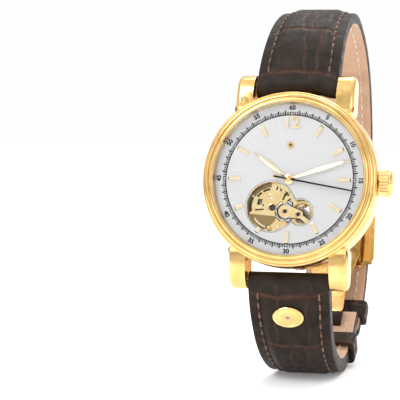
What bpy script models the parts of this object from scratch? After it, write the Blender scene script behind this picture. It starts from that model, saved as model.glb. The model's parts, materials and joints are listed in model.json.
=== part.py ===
"""Open-heart automatic wristwatch on a leather strap with a folding clasp.

World frame: the dial faces -Y, twelve o'clock is +Z and the crown is at +X.
The origin is the centre of the back crystal's outer face.
Pieces of the watch head are laid out in the frame of the empty "watch_head":
x to three o'clock, y to twelve o'clock, and z is the height above the back face.
All lengths below are in millimetres.
"""

import math

import bmesh
import bpy
from mathutils import Vector

MM = 0.001

# Case
CASE_R = 20.8
CASE_BORE_R = 17.2
LUG_IN_X = 10.0
LUG_OUT_X = 14.2
DIAL_R = 18.9
DIAL_SEAT_R = 19.05
VISIBLE_R = 17.95
BACK_WINDOW_R = 12.0
MOVEMENT_R = 14.8
CROWN_R = 3.3
CROWN_X = 21.1
STEM_H = 4.8
BAR_Y = -3.8
BAR_Z = 23.2
BAR_R = 0.85

# Heights above the back face
CRYSTAL_H = (10.7, 11.9)
SECONDS_H = (10.30, 10.45)
MINUTES_H = (10.0, 10.15)
HOURS_H = (9.7, 9.85)
DIAL_H = (8.9, 9.3)
PLATE_H = (6.75, 7.7)
BRIDGE_H = (3.9, 4.6)
WINDING_H = (3.55, 3.85)
ROTOR_H = (2.5, 3.3)

# Axes of the movement, as (x, y) in the watch head
CENTRE = (0.0, 0.0)
BARREL = (5.5, 5.4)
THIRD = (-7.4, 1.75)
ESCAPE = (-4.0, -6.6)
FORK = (-0.85, -7.45)
BALANCE = (2.33, -8.1)
MINUTE_POST = (2.9, 2.13)
CROWN_WHEEL = (11.3, 2.6)
WINDING_PINION_X = 11.2
BARREL_SCREW = (-1.9, 11.5)
TRAIN_SCREW = (-11.8, -5.0)
COCK_SCREW = (7.6, -10.6)

# Window in the dial: two overlapping circles, as (x, y, radius)
WINDOW_LARGE = (-4.1, -6.5, 5.85)
WINDOW_SMALL = (3.0, -7.7, 3.0)

# Angles of the hands, clockwise from twelve
HOUR_ANGLE = 306.0
MINUTE_ANGLE = 72.0
SECOND_ANGLE = 99.6

# Strap and clasp, as (y, z) in the world
STRAP_LUG_W = 19.4
STRAP_END_W = 16.0
UPPER_PATH = ((-3.8, 23.2), (-0.4, 31.0), (6.2, 38.4), (15.5, 43.3), (26.0, 44.4), (36.2, 41.3),
              (44.6, 33.4), (50.0, 21.5), (52.1, 9.0), (52.35, 0.0), (52.4, -8.0), (52.25, -13.0),
              (51.2, -18.0), (48.9, -23.6), (45.8, -29.4), (42.2, -34.6))
LOWER_PATH = ((-3.8, -23.2), (-0.6, -30.6), (5.2, -37.0), (13.2, -40.6), (22.0, -41.4),
              (30.4, -38.9), (37.0, -33.8), (41.5, -28.0))
CLASP_A = (41.5, -28.0)
CLASP_B = (48.3, -1.0)
CLASP_C = (50.0, -14.2)
TONGUE_AXIS = (50.75, -11.0)
TONGUE_SLOT = (52.3, -11.0)
STRAP_HOLES = ((52.0, 11.5, 4), (52.35, 4.0, 0), (48.9, -22.6, -25))
KEEPER_TAIL = (47.4, -26.6, -28.0)
KEEPER_STRAP = (33.9, -36.4, -52.0)
KEEPER_WALL = 0.95
KEEPER_LENGTH = 4.6
BADGE = (-3.45, -31.9, 115.5)
BADGE_HALF = (3.7, 2.5)

for old in list(bpy.data.objects):
    bpy.data.objects.remove(old, do_unlink=True)

parts = bpy.data.collections.new("wristwatch")
cutters = bpy.data.collections.new("wristwatch_cutters")
bpy.context.scene.collection.children.link(parts)
bpy.context.scene.collection.children.link(cutters)

head = bpy.data.objects.new("watch_head", None)
head.rotation_euler = (math.radians(90), 0, 0)
parts.objects.link(head)


def make_material(name, colour, roughness, metallic, alpha=1.0):
    made = bpy.data.materials.new(name)
    made.use_nodes = True
    shader = made.node_tree.nodes["Principled BSDF"]
    shader.inputs["Base Color"].default_value = (*colour, 1.0)
    shader.inputs["Roughness"].default_value = roughness
    shader.inputs["Metallic"].default_value = metallic
    shader.inputs["Alpha"].default_value = alpha
    made.diffuse_color = (*colour, alpha)
    return made


gold = make_material("gold", (0.86, 0.63, 0.27), 0.16, 1.0)
movement_gold = make_material("movement_gold", (0.80, 0.60, 0.27), 0.28, 1.0)
wheel_brass = make_material("wheel_brass", (0.78, 0.57, 0.25), 0.3, 1.0)
steel = make_material("steel", (0.62, 0.62, 0.63), 0.28, 1.0)
blue_steel = make_material("blue_steel", (0.05, 0.12, 0.42), 0.22, 1.0)
black_metal = make_material("black_metal", (0.02, 0.02, 0.022), 0.35, 0.6)
silver_dial = make_material("silver_dial", (0.86, 0.86, 0.86), 0.4, 0.1)
ruby = make_material("ruby", (0.28, 0.02, 0.16), 0.08, 0.0)
glass = make_material("glass", (0.9, 0.95, 1.0), 0.03, 0.0, 0.2)
rubber = make_material("rubber", (0.03, 0.03, 0.03), 0.7, 0.0)
leather = make_material("leather", (0.05, 0.028, 0.02), 0.5, 0.0)


def link(obj, collection=parts):
    collection.objects.link(obj)
    return obj


def paint(obj, surface):
    """Gives the piece its own copy of a surface, named for the piece."""
    own = surface.copy()
    own.name = obj.name + "_" + surface.name
    obj.data.materials.clear()
    obj.data.materials.append(own)
    return obj


def smooth(mesh):
    mesh.shade_smooth()
    mesh.set_sharp_from_angle(angle=math.radians(32))


def on_head(obj, at, height):
    """Places a piece of the watch head with its origin on the axis at (x, y)."""
    obj.parent = head
    obj.location = (at[0] * MM, at[1] * MM, height * MM)
    return obj


def curve_to_mesh(name, curve):
    """Turns a curve drawn in millimetres into a welded mesh object in metres."""
    drawn = link(bpy.data.objects.new(name + "_outline", curve))
    graph = bpy.context.evaluated_depsgraph_get()
    mesh = bpy.data.meshes.new_from_object(drawn.evaluated_get(graph))
    mesh.name = name
    bpy.data.objects.remove(drawn, do_unlink=True)
    shape = bmesh.new()
    shape.from_mesh(mesh)
    bmesh.ops.remove_doubles(shape, verts=shape.verts, dist=0.0005)
    bmesh.ops.recalc_face_normals(shape, faces=shape.faces)
    bmesh.ops.scale(shape, vec=(MM, MM, MM), verts=shape.verts)
    shape.to_mesh(mesh)
    shape.free()
    smooth(mesh)
    return link(bpy.data.objects.new(name, mesh))


def extrude(name, loops, depth):
    """A flat outline with holes, filled and extruded evenly about its own plane."""
    curve = bpy.data.curves.new(name, "CURVE")
    curve.dimensions = "2D"
    curve.fill_mode = "BOTH"
    curve.render_resolution_u = 0
    curve.extrude = depth / 2
    for loop in loops:
        spline = curve.splines.new("POLY")
        spline.points.add(len(loop) - 1)
        for point, (x, y) in zip(spline.points, loop):
            point.co = (x, y, 0, 1)
        spline.use_cyclic_u = True
    return curve_to_mesh(name, curve)


def flat(name, loops, heights, at=CENTRE):
    """A plate of the watch head between two heights, drawn about the axis at (x, y)."""
    obj = extrude(name, loops, heights[1] - heights[0])
    return on_head(obj, at, (heights[0] + heights[1]) / 2)


def side(name, loops, half_width, at, offset=0.0):
    """A piece whose outline in (y, z) runs across the strap, drawn about the axis at (y, z)."""
    moved = [[(y - at[0], z - at[1]) for y, z in loop] for loop in loops]
    obj = extrude(name, moved, 2 * half_width)
    obj.rotation_euler = (math.radians(90), 0, math.radians(90))
    obj.location = (offset * MM, at[0] * MM, at[1] * MM)
    return obj


def turned(name, profile, steps, ring=False):
    """A turned piece about its own Z. The profile runs down its outer side, then up inside."""
    shape = bmesh.new()
    verts = [shape.verts.new((r * MM, 0, h * MM)) for r, h in profile]
    pairs = list(zip(verts, verts[1:]))
    if ring:
        pairs.append((verts[-1], verts[0]))
    for pair in pairs:
        shape.edges.new(pair)
    mesh = bpy.data.meshes.new(name)
    shape.to_mesh(mesh)
    shape.free()
    obj = link(bpy.data.objects.new(name, mesh))
    screw = obj.modifiers.new("turn", "SCREW")
    screw.steps = steps
    screw.render_steps = steps
    screw.use_merge_vertices = True
    screw.merge_threshold = 0.000001
    screw.use_smooth_shade = True
    return obj


def lathe(name, profile, steps=32, at=CENTRE, ring=False):
    return on_head(turned(name, profile, steps, ring), at, 0)


def crosswise(name, profile, at, steps=12, ring=False):
    """A turned piece whose axis lies along X through (y, z) of the world."""
    obj = turned(name, profile, steps, ring)
    obj.rotation_euler = (0, math.radians(90), 0)
    obj.location = (0, at[0] * MM, at[1] * MM)
    return obj


def boolean(obj, others, operation):
    for other in others:
        for collection in list(other.users_collection):
            collection.objects.unlink(other)
        cutters.objects.link(other)
        other.hide_render = True
        other.display_type = "WIRE"
        step = obj.modifiers.new(other.name, "BOOLEAN")
        step.operation = operation
        step.solver = "EXACT"
        step.object = other
    return obj


def join(obj, others):
    return boolean(obj, others, "UNION")


def cut(obj, others):
    return boolean(obj, others, "DIFFERENCE")


def bevel(obj, width, segments=1):
    step = obj.modifiers.new("edge", "BEVEL")
    step.width = width * MM
    step.segments = segments
    step.limit_method = "ANGLE"
    step.angle_limit = math.radians(35)
    return obj


def ring_points(radius, count, centre=(0.0, 0.0), start=0.0):
    turn = [start + 2 * math.pi * k / count for k in range(count)]
    return [(centre[0] + radius * math.cos(a), centre[1] + radius * math.sin(a)) for a in turn]


def arc(radius, first, last, count, centre=(0.0, 0.0)):
    """Points along an arc, angles in degrees anticlockwise from +x."""
    turn = [math.radians(first + (last - first) * k / (count - 1)) for k in range(count)]
    return [(centre[0] + radius * math.cos(a), centre[1] + radius * math.sin(a)) for a in turn]


def heading(start, end):
    """Angle in degrees of the line from one axis to another."""
    return math.degrees(math.atan2(end[1] - start[1], end[0] - start[0]))


def toothed(teeth, pitch_r, phase):
    """Outline of a gear with pointed teeth, one tip at the phase angle in degrees."""
    module = 2 * pitch_r / teeth
    tip = pitch_r + 0.85 * module
    root = pitch_r - 1.1 * module
    points = []
    for k in range(teeth):
        a = math.radians(phase + 360 * k / teeth)
        b = a + math.pi / teeth
        points.append((tip * math.cos(a), tip * math.sin(a)))
        points.append((root * math.cos(b), root * math.sin(b)))
    return points


def two_circles(large, small, grow=0.0, count=16):
    """Outline round two overlapping circles, each (x, y, radius)."""
    x1, y1, r1 = large[0], large[1], large[2] + grow
    x2, y2, r2 = small[0], small[1], small[2] + grow
    gap = math.hypot(x2 - x1, y2 - y1)
    lean = math.degrees(math.atan2(y2 - y1, x2 - x1))
    half1 = math.degrees(math.acos((r1 * r1 + gap * gap - r2 * r2) / (2 * r1 * gap)))
    half2 = math.degrees(math.acos((r2 * r2 + gap * gap - r1 * r1) / (2 * r2 * gap)))
    first = arc(r1, lean + half1, lean + 360 - half1, count, (x1, y1))
    second = arc(r2, lean - 180 + half2, lean + 180 - half2, count, (x2, y2))
    return first[:-1] + second[:-1]


def capsule(start, end, radius, count=7):
    """Outline of a bar with round ends."""
    along = heading(start, end)
    first = arc(radius, along + 90, along + 270, count, start)
    return first + arc(radius, along - 90, along + 90, count, end)


def oblong(half_x, half_y, corner, count=3):
    """A rectangle with round corners."""
    points = []
    for sx, sy, first in ((1, 1, 0), (-1, 1, 90), (-1, -1, 180), (1, -1, 270)):
        centre = (sx * (half_x - corner), sy * (half_y - corner))
        points += arc(corner, first, first + 90, count, centre)
    return points


def pin(name, at, radius, heights, steps=8):
    """A plain arbor of the watch head."""
    low, high = heights
    profile = ((0, high), (radius, high), (radius, low), (0, low))
    return lathe(name, profile, steps, at)


def strip(path, half_thickness):
    """Closed outline of a bent strip along a path."""
    left, right = [], []
    for k, (y, z) in enumerate(path):
        before = Vector(path[max(k - 1, 0)])
        after = Vector(path[min(k + 1, len(path) - 1)])
        along = (after - before).normalized()
        left.append((y - along.y * half_thickness, z + along.x * half_thickness))
        right.append((y + along.y * half_thickness, z - along.x * half_thickness))
    return left + right[::-1]


# ---------------------------------------------------------------- case

def lug_outline(up):
    """Side of one lug in (y, z): it runs out of the case and drops towards the wrist."""
    points = ((-8.2, 16.5), (-8.3, 19.0), (-7.9, 21.4), (-7.0, 23.4), (-5.6, 24.9), (-3.9, 25.5),
              (-2.3, 25.2), (-1.2, 24.2), (-0.9, 22.6), (-1.3, 20.6), (-1.9, 16.5))
    return [(y, up * z) for y, z in points]


case = lathe("case_middle", ((19.9, 9.2), (20.4, 8.4), (CASE_R, 7.4), (CASE_R, 2.6),
                             (19.6, 1.3), (CASE_BORE_R, 1.3),
                             (CASE_BORE_R, 2.85), (15.8, 2.85), (15.8, 4.3), (CASE_BORE_R, 4.3),
                             (CASE_BORE_R, 8.8), (DIAL_SEAT_R, 8.8), (DIAL_SEAT_R, 9.2)),
             steps=32, ring=True)
lug_mid = (LUG_IN_X + LUG_OUT_X) / 2
lug_half = (LUG_OUT_X - LUG_IN_X) / 2
lug_pieces = []
for x_sign in (-1, 1):
    for z_sign in (-1, 1):
        lug = side("lug_piece", [lug_outline(z_sign)], lug_half, (0, 0), x_sign * lug_mid)
        lug_pieces.append(bevel(lug, 0.4))
join(case, lug_pieces)
bar_holes = []
for z_sign in (-1, 1):
    bar_holes.append(crosswise("bar_hole", ((0, 12.4), (0.6, 12.4), (0.6, -12.4), (0, -12.4)),
                               (BAR_Y, z_sign * BAR_Z), 12))
tube_hole = crosswise("tube_hole", ((0, 22.0), (1.14, 22.0), (1.14, 14.0), (0, 14.0)),
                      (-STEM_H, 0), 16)
cut(case, bar_holes + [tube_hole])
paint(case, gold)

paint(lathe("bezel", ((18.06, 11.2), (18.5, 11.45), (19.1, 11.1), (20.0, 10.85), (20.6, 10.1),
                      (20.6, 9.5), (20.3, 9.25), (19.12, 9.25),
                      (19.12, 10.66), (18.06, 10.66)), 32, ring=True), gold)
paint(lathe("front_crystal", ((0, 11.95), (9.0, 11.9), (17.5, 11.75), (18.0, 11.45), (18.0, 10.7),
                              (0, 10.7)), 32), glass)
paint(lathe("rehaut_ring", ((18.35, 10.6), (19.02, 10.6), (19.02, 9.36), (VISIBLE_R, 9.36)),
            32, ring=True), steel)
paint(flat("dial", [ring_points(DIAL_R, 36), two_circles(WINDOW_LARGE, WINDOW_SMALL),
                    ring_points(0.95, 16)], DIAL_H), silver_dial)

case_back = lathe("case_back_ring", ((11.5, 2.25), (17.05, 2.25), (17.05, 0.5), (16.6, 0.06),
                                     (12.04, 0.06), (12.04, 1.3), (11.5, 1.3)), 28, ring=True)
notches = []
for k in range(4):
    notch = flat("back_notch", [oblong(0.9, 0.7, 0.25, 3)], (-0.5, 0.55))
    turn = math.radians(45 + 90 * k)
    notch.location = (15.9 * math.cos(turn) * MM, 15.9 * math.sin(turn) * MM, 0)
    notch.rotation_euler = (0, 0, turn)
    notches.append(notch)
cut(case_back, notches)
paint(case_back, steel)
paint(lathe("back_crystal", ((0, 1.2), (BACK_WINDOW_R, 1.2), (BACK_WINDOW_R, 0), (0, 0)), 28),
      glass)
gasket_loop = [(16.45 + 0.2 * math.cos(a * 2 * math.pi / 5), 2.55 - 0.2 * math.sin(a * 2 * math.pi / 5))
               for a in range(5)]
paint(lathe("back_gasket", gasket_loop, 16, ring=True), rubber)

holder = lathe("movement_ring", ((MOVEMENT_R + 0.15, 8.6), (17.1, 8.6), (17.1, 4.4),
                                 (MOVEMENT_R + 0.15, 4.4)), 28, ring=True)
cut(holder, [crosswise("holder_hole", ((0, 19.0), (0.9, 19.0), (0.9, 12.0), (0, 12.0)),
                       (-STEM_H, 0), 12)])
paint(holder, steel)

# ---------------------------------------------------------------- crown and stem

paint(crosswise("crown_tube", ((0.62, 21.0), (1.1, 21.0), (1.1, 17.4), (0.62, 17.4)),
                (-STEM_H, 0), 16, ring=True), steel)


def fluted(radius, flutes, depth):
    points = []
    for k in range(flutes):
        middle = 2 * math.pi * k / flutes
        for share, r in ((-0.30, radius), (0.30, radius), (0.5, radius - depth)):
            a = middle + share * 2 * math.pi / flutes
            points.append((r * math.cos(a), r * math.sin(a)))
    return points


crown = extrude("crown", [fluted(CROWN_R, 20, 0.3)], 2.0)
crown.rotation_euler = (0, math.radians(90), 0)
crown.location = ((CROWN_X + 1.0) * MM, -STEM_H * MM, 0)
crown_cap = crosswise("crown_cap", ((0, 24.05), (1.4, 24.0), (2.4, 23.75), (2.85, 23.4),
                                    (2.95, 22.8), (2.95, 21.6), (0, 21.6)), (-STEM_H, 0), 16)
join(crown, [crown_cap])
cut(crown, [crosswise("stem_socket", ((0, 22.9), (0.54, 22.9), (0.54, 20.0), (0, 20.0)),
                      (-STEM_H, 0), 12)])
paint(crown, gold)

stem = crosswise("winding_stem", ((0, 22.8), (0.48, 22.8), (0.48, 13.2), (0.34, 13.0),
                                  (0.34, 12.4), (0.48, 12.2), (0.48, 9.7), (0, 9.7)),
                 (-STEM_H, 0), 12)
paint(stem, steel)
winding = extrude("winding_pinion", [toothed(12, 0.78, 0), ring_points(0.53, 12)], 1.3)
winding.rotation_euler = (0, math.radians(90), 0)
winding.location = (WINDING_PINION_X * MM, -STEM_H * MM, 0)
paint(winding, steel)

# ---------------------------------------------------------------- keyless and winding wheels

winding_line = heading(CROWN_WHEEL, BARREL)
winding_gap = math.dist(CROWN_WHEEL, BARREL)
CROWN_WHEEL_TEETH = 22
RATCHET_TEETH = 42
crown_wheel_r = winding_gap * CROWN_WHEEL_TEETH / (CROWN_WHEEL_TEETH + RATCHET_TEETH)
ratchet_r = winding_gap - crown_wheel_r
paint(flat("crown_wheel", [toothed(CROWN_WHEEL_TEETH, crown_wheel_r, winding_line),
                           ring_points(0.55, 12)], WINDING_H, CROWN_WHEEL), steel)
ratchet_phase = winding_line + 180 + 180 / RATCHET_TEETH
paint(flat("ratchet_wheel", [toothed(RATCHET_TEETH, ratchet_r, ratchet_phase),
                             oblong(0.44, 0.44, 0.05, 2)], WINDING_H, BARREL), steel)

# ---------------------------------------------------------------- hands


def lance(length, hub, bore, width, waist, tail=0.0, tail_w=0.0):
    """A hand pointing to +y with a round hub, a slim neck, a wide middle and a fine tip."""
    neck = hub * 0.9
    side_points = [(waist / 2, neck), (width / 2, length * 0.55), (width * 0.28, length * 0.9)]
    points = [(0.02, length), (-0.02, length)]
    points += [(-x, y) for x, y in side_points[::-1]]
    start = math.degrees(math.atan2(neck, -waist / 2)) + 12
    if tail:
        points += arc(hub, start, 262, 6)
        points += [(-tail_w * 0.3, -tail * 0.55), (-tail_w / 2, -tail * 0.6), (-tail_w / 2, -tail)]
        points += [(tail_w / 2, -tail), (tail_w / 2, -tail * 0.6), (tail_w * 0.3, -tail * 0.55)]
        points += arc(hub, 278, 540 - start, 6)
    else:
        points += arc(hub, start, 540 - start, 14)
    points += side_points
    return [points] + ([ring_points(bore, 12)] if bore else [])


def turn_hand(obj, clockwise):
    obj.rotation_euler = (0, 0, -math.radians(clockwise))
    return obj


paint(turn_hand(flat("hour_hand", lance(10.4, 1.25, 0.83, 1.15, 0.5), HOURS_H), HOUR_ANGLE), gold)
paint(turn_hand(flat("minute_hand", lance(15.7, 0.95, 0.45, 0.95, 0.42), MINUTES_H),
                MINUTE_ANGLE), gold)
paint(turn_hand(flat("seconds_hand", lance(15.7, 0.6, 0, 0.3, 0.3, 3.9, 0.95), SECONDS_H),
                SECOND_ANGLE), black_metal)

# ---------------------------------------------------------------- going train


def pair_radii(start, end, first_teeth, second_teeth):
    """Pitch radii of two meshed gears whose axes are given."""
    gap = math.dist(start, end)
    total = first_teeth + second_teeth
    return gap * first_teeth / total, gap * second_teeth / total


def meshed(start, end, first_teeth, second_teeth):
    """Outlines of two gears in mesh: a tip of the first lies in a gap of the second."""
    r1, r2 = pair_radii(start, end, first_teeth, second_teeth)
    line = heading(start, end)
    first = toothed(first_teeth, r1, line)
    second = toothed(second_teeth, r2, line + 180 + 180 / second_teeth)
    return first, second, r1, r2


def spoke_holes(inner, outer, count, width, points=4):
    """Openings between the arms of a wheel."""
    holes = []
    for k in range(count):
        middle = 360 * k / count
        wide = 180 / count - math.degrees(width / 2 / outer)
        slim = 180 / count - math.degrees(width / 2 / inner)
        holes.append(arc(outer, middle - wide, middle + wide, points)
                     + arc(inner, middle + slim, middle - slim, points))
    return holes


centre_gear, third_pinion, centre_r, _ = meshed(CENTRE, THIRD, 60, 8)
third_gear, seconds_pinion, third_r, _ = meshed(THIRD, CENTRE, 64, 8)
seconds_gear, escape_pinion, seconds_r, _ = meshed(CENTRE, ESCAPE, 60, 6)
barrel_gear, centre_pinion, barrel_r, _ = meshed(BARREL, CENTRE, 60, 10)
cannon_gear, minute_gear, _, _ = meshed(CENTRE, MINUTE_POST, 12, 36)
minute_pinion, hour_gear, _, _ = meshed(MINUTE_POST, CENTRE, 10, 40)
bore = ring_points(0.22, 10)

centre = flat("centre_wheel", [centre_gear] + spoke_holes(1.9, 5.7, 4, 1.0), (6.4, 6.6))
centre_tube = lathe("centre_tube", ((0, 7.76), (0.5, 7.76), (0.5, 5.72), (0, 5.72)), 10)
join(centre, [flat("centre_leaves", [centre_pinion], (5.75, 6.45)), centre_tube])
cut(centre, [pin("centre_bore", CENTRE, 0.22, (5.0, 8.5))])
paint(centre, wheel_brass)

cannon = flat("cannon_pinion", [cannon_gear, bore], (7.8, 8.1))
join(cannon, [lathe("cannon_tube", ((0.22, 10.13), (0.42, 10.13), (0.42, 7.9), (0.22, 7.9)),
                    10, ring=True)])
paint(cannon, steel)

hour_wheel = flat("hour_wheel", [hour_gear, ring_points(0.5, 10)], (8.22, 8.5))
join(hour_wheel, [lathe("hour_tube", ((0.5, 9.83), (0.8, 9.83), (0.8, 8.3), (0.5, 8.3)),
                        10, ring=True)])
paint(hour_wheel, wheel_brass)

minute_wheel = flat("minute_wheel", [minute_gear], (7.8, 8.1), MINUTE_POST)
join(minute_wheel, [flat("minute_leaves", [minute_pinion], (8.0, 8.5), MINUTE_POST),
                    pin("minute_post", MINUTE_POST, 0.25, (7.1, 7.9))])
paint(minute_wheel, steel)

third = flat("third_wheel", [third_gear] + spoke_holes(1.7, 5.7, 4, 1.0), (5.3, 5.5), THIRD)
join(third, [flat("third_leaves", [third_pinion], (5.4, 6.65), THIRD),
             pin("third_arbor", THIRD, 0.25, (4.1, 7.4))])
paint(third, wheel_brass)

seconds = flat("seconds_wheel", [seconds_gear] + spoke_holes(1.7, 5.9, 4, 0.9), (4.85, 5.05))
join(seconds, [flat("seconds_leaves", [seconds_pinion], (4.95, 5.6)),
               pin("seconds_arbor", CENTRE, 0.15, (4.05, 10.28))])
paint(seconds, wheel_brass)


def escape_teeth(teeth, tip, root):
    points = []
    for k in range(teeth):
        for share, r in ((0.0, tip), (0.10, tip), (0.30, root), (0.85, root)):
            a = 2 * math.pi * (k + share) / teeth
            points.append((r * math.cos(a), r * math.sin(a)))
    return points


escape = flat("escape_wheel", [escape_teeth(15, 2.45, 1.85)] + spoke_holes(0.75, 1.5, 4, 0.3, 3),
              (5.8, 6.0), ESCAPE)
join(escape, [flat("escape_leaves", [escape_pinion], (4.75, 5.15), ESCAPE),
              pin("escape_arbor", ESCAPE, 0.2, (4.1, 8.0))])
paint(escape, steel)


def fork_outline():
    """Pallet fork about its own axis: two arms embrace the escape wheel, a lever meets the staff."""
    to_wheel = math.radians(heading(FORK, ESCAPE))
    to_staff = math.radians(heading(FORK, BALANCE))

    def polar(angle, r, turn=0.0):
        return (r * math.cos(angle + math.radians(turn)), r * math.sin(angle + math.radians(turn)))

    points = [polar(to_wheel, 0.45, -10), polar(to_wheel, 2.35, -66), polar(to_wheel, 2.75, -62),
              polar(to_wheel, 2.75, -70), polar(to_wheel, 2.1, -80), polar(to_staff, 0.5, 70),
              polar(to_staff, 2.1, 5), polar(to_staff, 2.5, 10), polar(to_staff, 2.5, -10),
              polar(to_staff, 2.1, -5), polar(to_staff, 0.5, -70), polar(to_wheel, 2.1, 80),
              polar(to_wheel, 2.75, 70), polar(to_wheel, 2.75, 62), polar(to_wheel, 2.35, 66),
              polar(to_wheel, 0.45, 10)]
    return points[::-1]


fork = flat("pallet_fork", [fork_outline()], (5.8, 6.0), FORK)
join(fork, [pin("fork_arbor", FORK, 0.2, (5.7, 8.0))])
paint(fork, steel)

balance = flat("balance_wheel", [ring_points(4.3, 28)] + spoke_holes(0.8, 3.7, 2, 0.7, 9),
               (5.35, 5.6), BALANCE)
join(balance, [pin("balance_staff", BALANCE, 0.2, (4.1, 8.0))])
paint(balance, movement_gold)


def spiral(inner, outer, turns, thickness, per_turn=12):
    """Closed outline of a flat spiral."""
    count = int(turns * per_turn)
    line = []
    for k in range(count + 1):
        a = 2 * math.pi * k / per_turn
        r = inner + (outer - inner) * k / count
        line.append((r, a))
    far = [((r + thickness) * math.cos(a), (r + thickness) * math.sin(a)) for r, a in line]
    near = [(r * math.cos(a), r * math.sin(a)) for r, a in line]
    return far + near[::-1]


paint(flat("hairspring", [spiral(0.4, 2.1, 4.5, 0.07)], (6.2, 6.4), BALANCE), blue_steel)

barrel = flat("barrel_drum", [barrel_gear, ring_points(5.85, 24)], (5.85, 6.1), BARREL)
drum = lathe("barrel_shell", ((5.7, 6.25), (6.0, 6.25), (6.0, 5.25), (0.5, 5.25), (0.5, 5.4),
                              (5.7, 5.4)), 24, BARREL, ring=True)
join(barrel, [drum])
paint(barrel, wheel_brass)
paint(lathe("barrel_cover", ((0.5, 6.25), (5.62, 6.25), (5.6, 6.12), (0.5, 6.12)), 20, BARREL,
            ring=True), wheel_brass)
paint(flat("mainspring", [spiral(1.3, 5.2, 4.0, 0.25, 12)], (5.5, 6.05), BARREL), steel)
arbor = pin("barrel_arbor", BARREL, 0.4, (3.4, 7.4))
join(arbor, [pin("barrel_core", BARREL, 1.1, (5.48, 6.06), 16)])
paint(arbor, steel)

# ---------------------------------------------------------------- plates and bridges


def hole(axis, radius, count=12):
    return ring_points(radius, count, axis)


plate_window = two_circles((*ESCAPE, 3.6), (*BALANCE, 3.2), 0, 14)
paint(flat("main_plate", [ring_points(MOVEMENT_R, 36), plate_window, hole(CENTRE, 0.6),
                          hole(THIRD, 0.3), hole(BARREL, 0.45), hole(MINUTE_POST, 0.3)],
           PLATE_H), movement_gold)

heart = flat("dial_side_bridge", [capsule(ESCAPE, FORK, 1.15), hole(ESCAPE, 0.72),
                                  hole(FORK, 0.62)], (7.78, 8.45))
heart_arm = flat("heart_arm", [capsule(FORK, BALANCE, 1.15), hole(FORK, 0.62),
                               hole(BALANCE, 0.72)], (7.78, 8.45))
heart_foot = flat("heart_foot", [capsule((-5.4, -7.6), (-8.6, -10.0), 0.9, 5)], (7.78, 8.4))
heart_tail = flat("heart_tail", [capsule((3.5, -9.1), (5.6, -10.6), 0.8, 5)], (7.78, 8.4))
join(heart, [heart_arm, heart_foot, heart_tail])
paint(heart, movement_gold)

BARREL_BRIDGE = ([(9.3, 1.6), (9.0, -1.1), (3.6, -1.1), (2.3, 1.6)]
                 + [(-1.2, 4.6), (-3.2, 8.6)] + arc(14.4, 112, 26, 12) + [(9.0, 5.4)])
paint(flat("barrel_bridge", [BARREL_BRIDGE, hole(BARREL, 0.45), hole(BARREL_SCREW, 0.62)],
           BRIDGE_H), movement_gold)
TRAIN_BRIDGE = ([(1.9, 1.0), (-1.9, 4.2), (-3.9, 8.4)] + arc(14.4, 119, 235, 14)
                + [(-2.5, -8.4), (-2.0, -2.4), (1.9, -1.5)])
paint(flat("train_bridge", [TRAIN_BRIDGE, hole(CENTRE, 0.25), hole(THIRD, 0.3), hole(ESCAPE, 0.25),
                            hole(TRAIN_SCREW, 0.62)], BRIDGE_H), movement_gold)
COCK = (arc(1.9, 150, 20, 7, BALANCE) + [(8.0, -8.2), (10.2, -10.1)] + arc(14.4, -44, -78, 6)
        + [(1.0, -10.2)])
paint(flat("balance_cock", [COCK, hole(BALANCE, 0.25), hole(COCK_SCREW, 0.62)], BRIDGE_H),
      movement_gold)


def jewel(name, axis, heights, outer, inner=0.27):
    low, high = heights
    profile = ((inner, high), (outer, high), (outer, low), (inner, low))
    return paint(lathe(name, profile, 14, axis, ring=True), ruby)


jewel("jewel_escape_front", ESCAPE, (7.8, 8.5), 0.66)
jewel("jewel_fork_front", FORK, (7.8, 8.5), 0.56)
jewel("jewel_balance_front", BALANCE, (7.8, 8.5), 0.66)


def bridge_screw(name, axis):
    """A slotted screw whose head stands just proud of the bridge towards the back."""
    body = lathe(name, ((0, 6.0), (0.5, 6.0), (0.5, 3.88), (1.0, 3.88), (1.0, 3.6), (0, 3.6)),
                 10, axis)
    slot = flat(name + "_slot", [oblong(1.4, 0.14, 0.04, 2)], (3.4, 3.75), axis)
    slot.rotation_euler = (0, 0, math.radians(35))
    return paint(cut(body, [slot]), blue_steel)


bridge_screw("screw_barrel_bridge", BARREL_SCREW)
bridge_screw("screw_train_bridge", TRAIN_SCREW)
bridge_screw("screw_balance_cock", COCK_SCREW)

# ---------------------------------------------------------------- rotor

paint(lathe("rotor_bearing", ((0, 3.88), (1.5, 3.88), (1.5, 3.4), (0.75, 3.38), (0.75, 2.52),
                              (0, 2.52)), 24), steel)


def rotor_outline():
    rim = arc(14.2, 184, 356, 29)
    return rim + [(12.0, -0.4), (2.4, 0.9)] + arc(2.5, 20, 160, 7) + [(-2.4, 0.9), (-12.0, -0.4)]


def rotor_hole(first, last, inner, outer):
    return arc(outer, first, last, 7) + arc(inner, last - 4, first + 4, 5)


rotor_holes = [rotor_hole(192 + 40 * k, 224 + 40 * k, 3.6, 10.6) for k in range(4)]
paint(flat("rotor", [rotor_outline(), ring_points(0.82, 16)] + rotor_holes, ROTOR_H),
      movement_gold)
rotor_screw = lathe("rotor_screw", ((0, 2.48), (1.5, 2.48), (1.5, 2.3), (1.3, 2.1), (0, 2.1)), 16)
cut(rotor_screw, [flat("rotor_slot", [oblong(2.0, 0.18, 0.05, 2)], (1.9, 2.26))])
paint(rotor_screw, blue_steel)

# ---------------------------------------------------------------- strap


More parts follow.
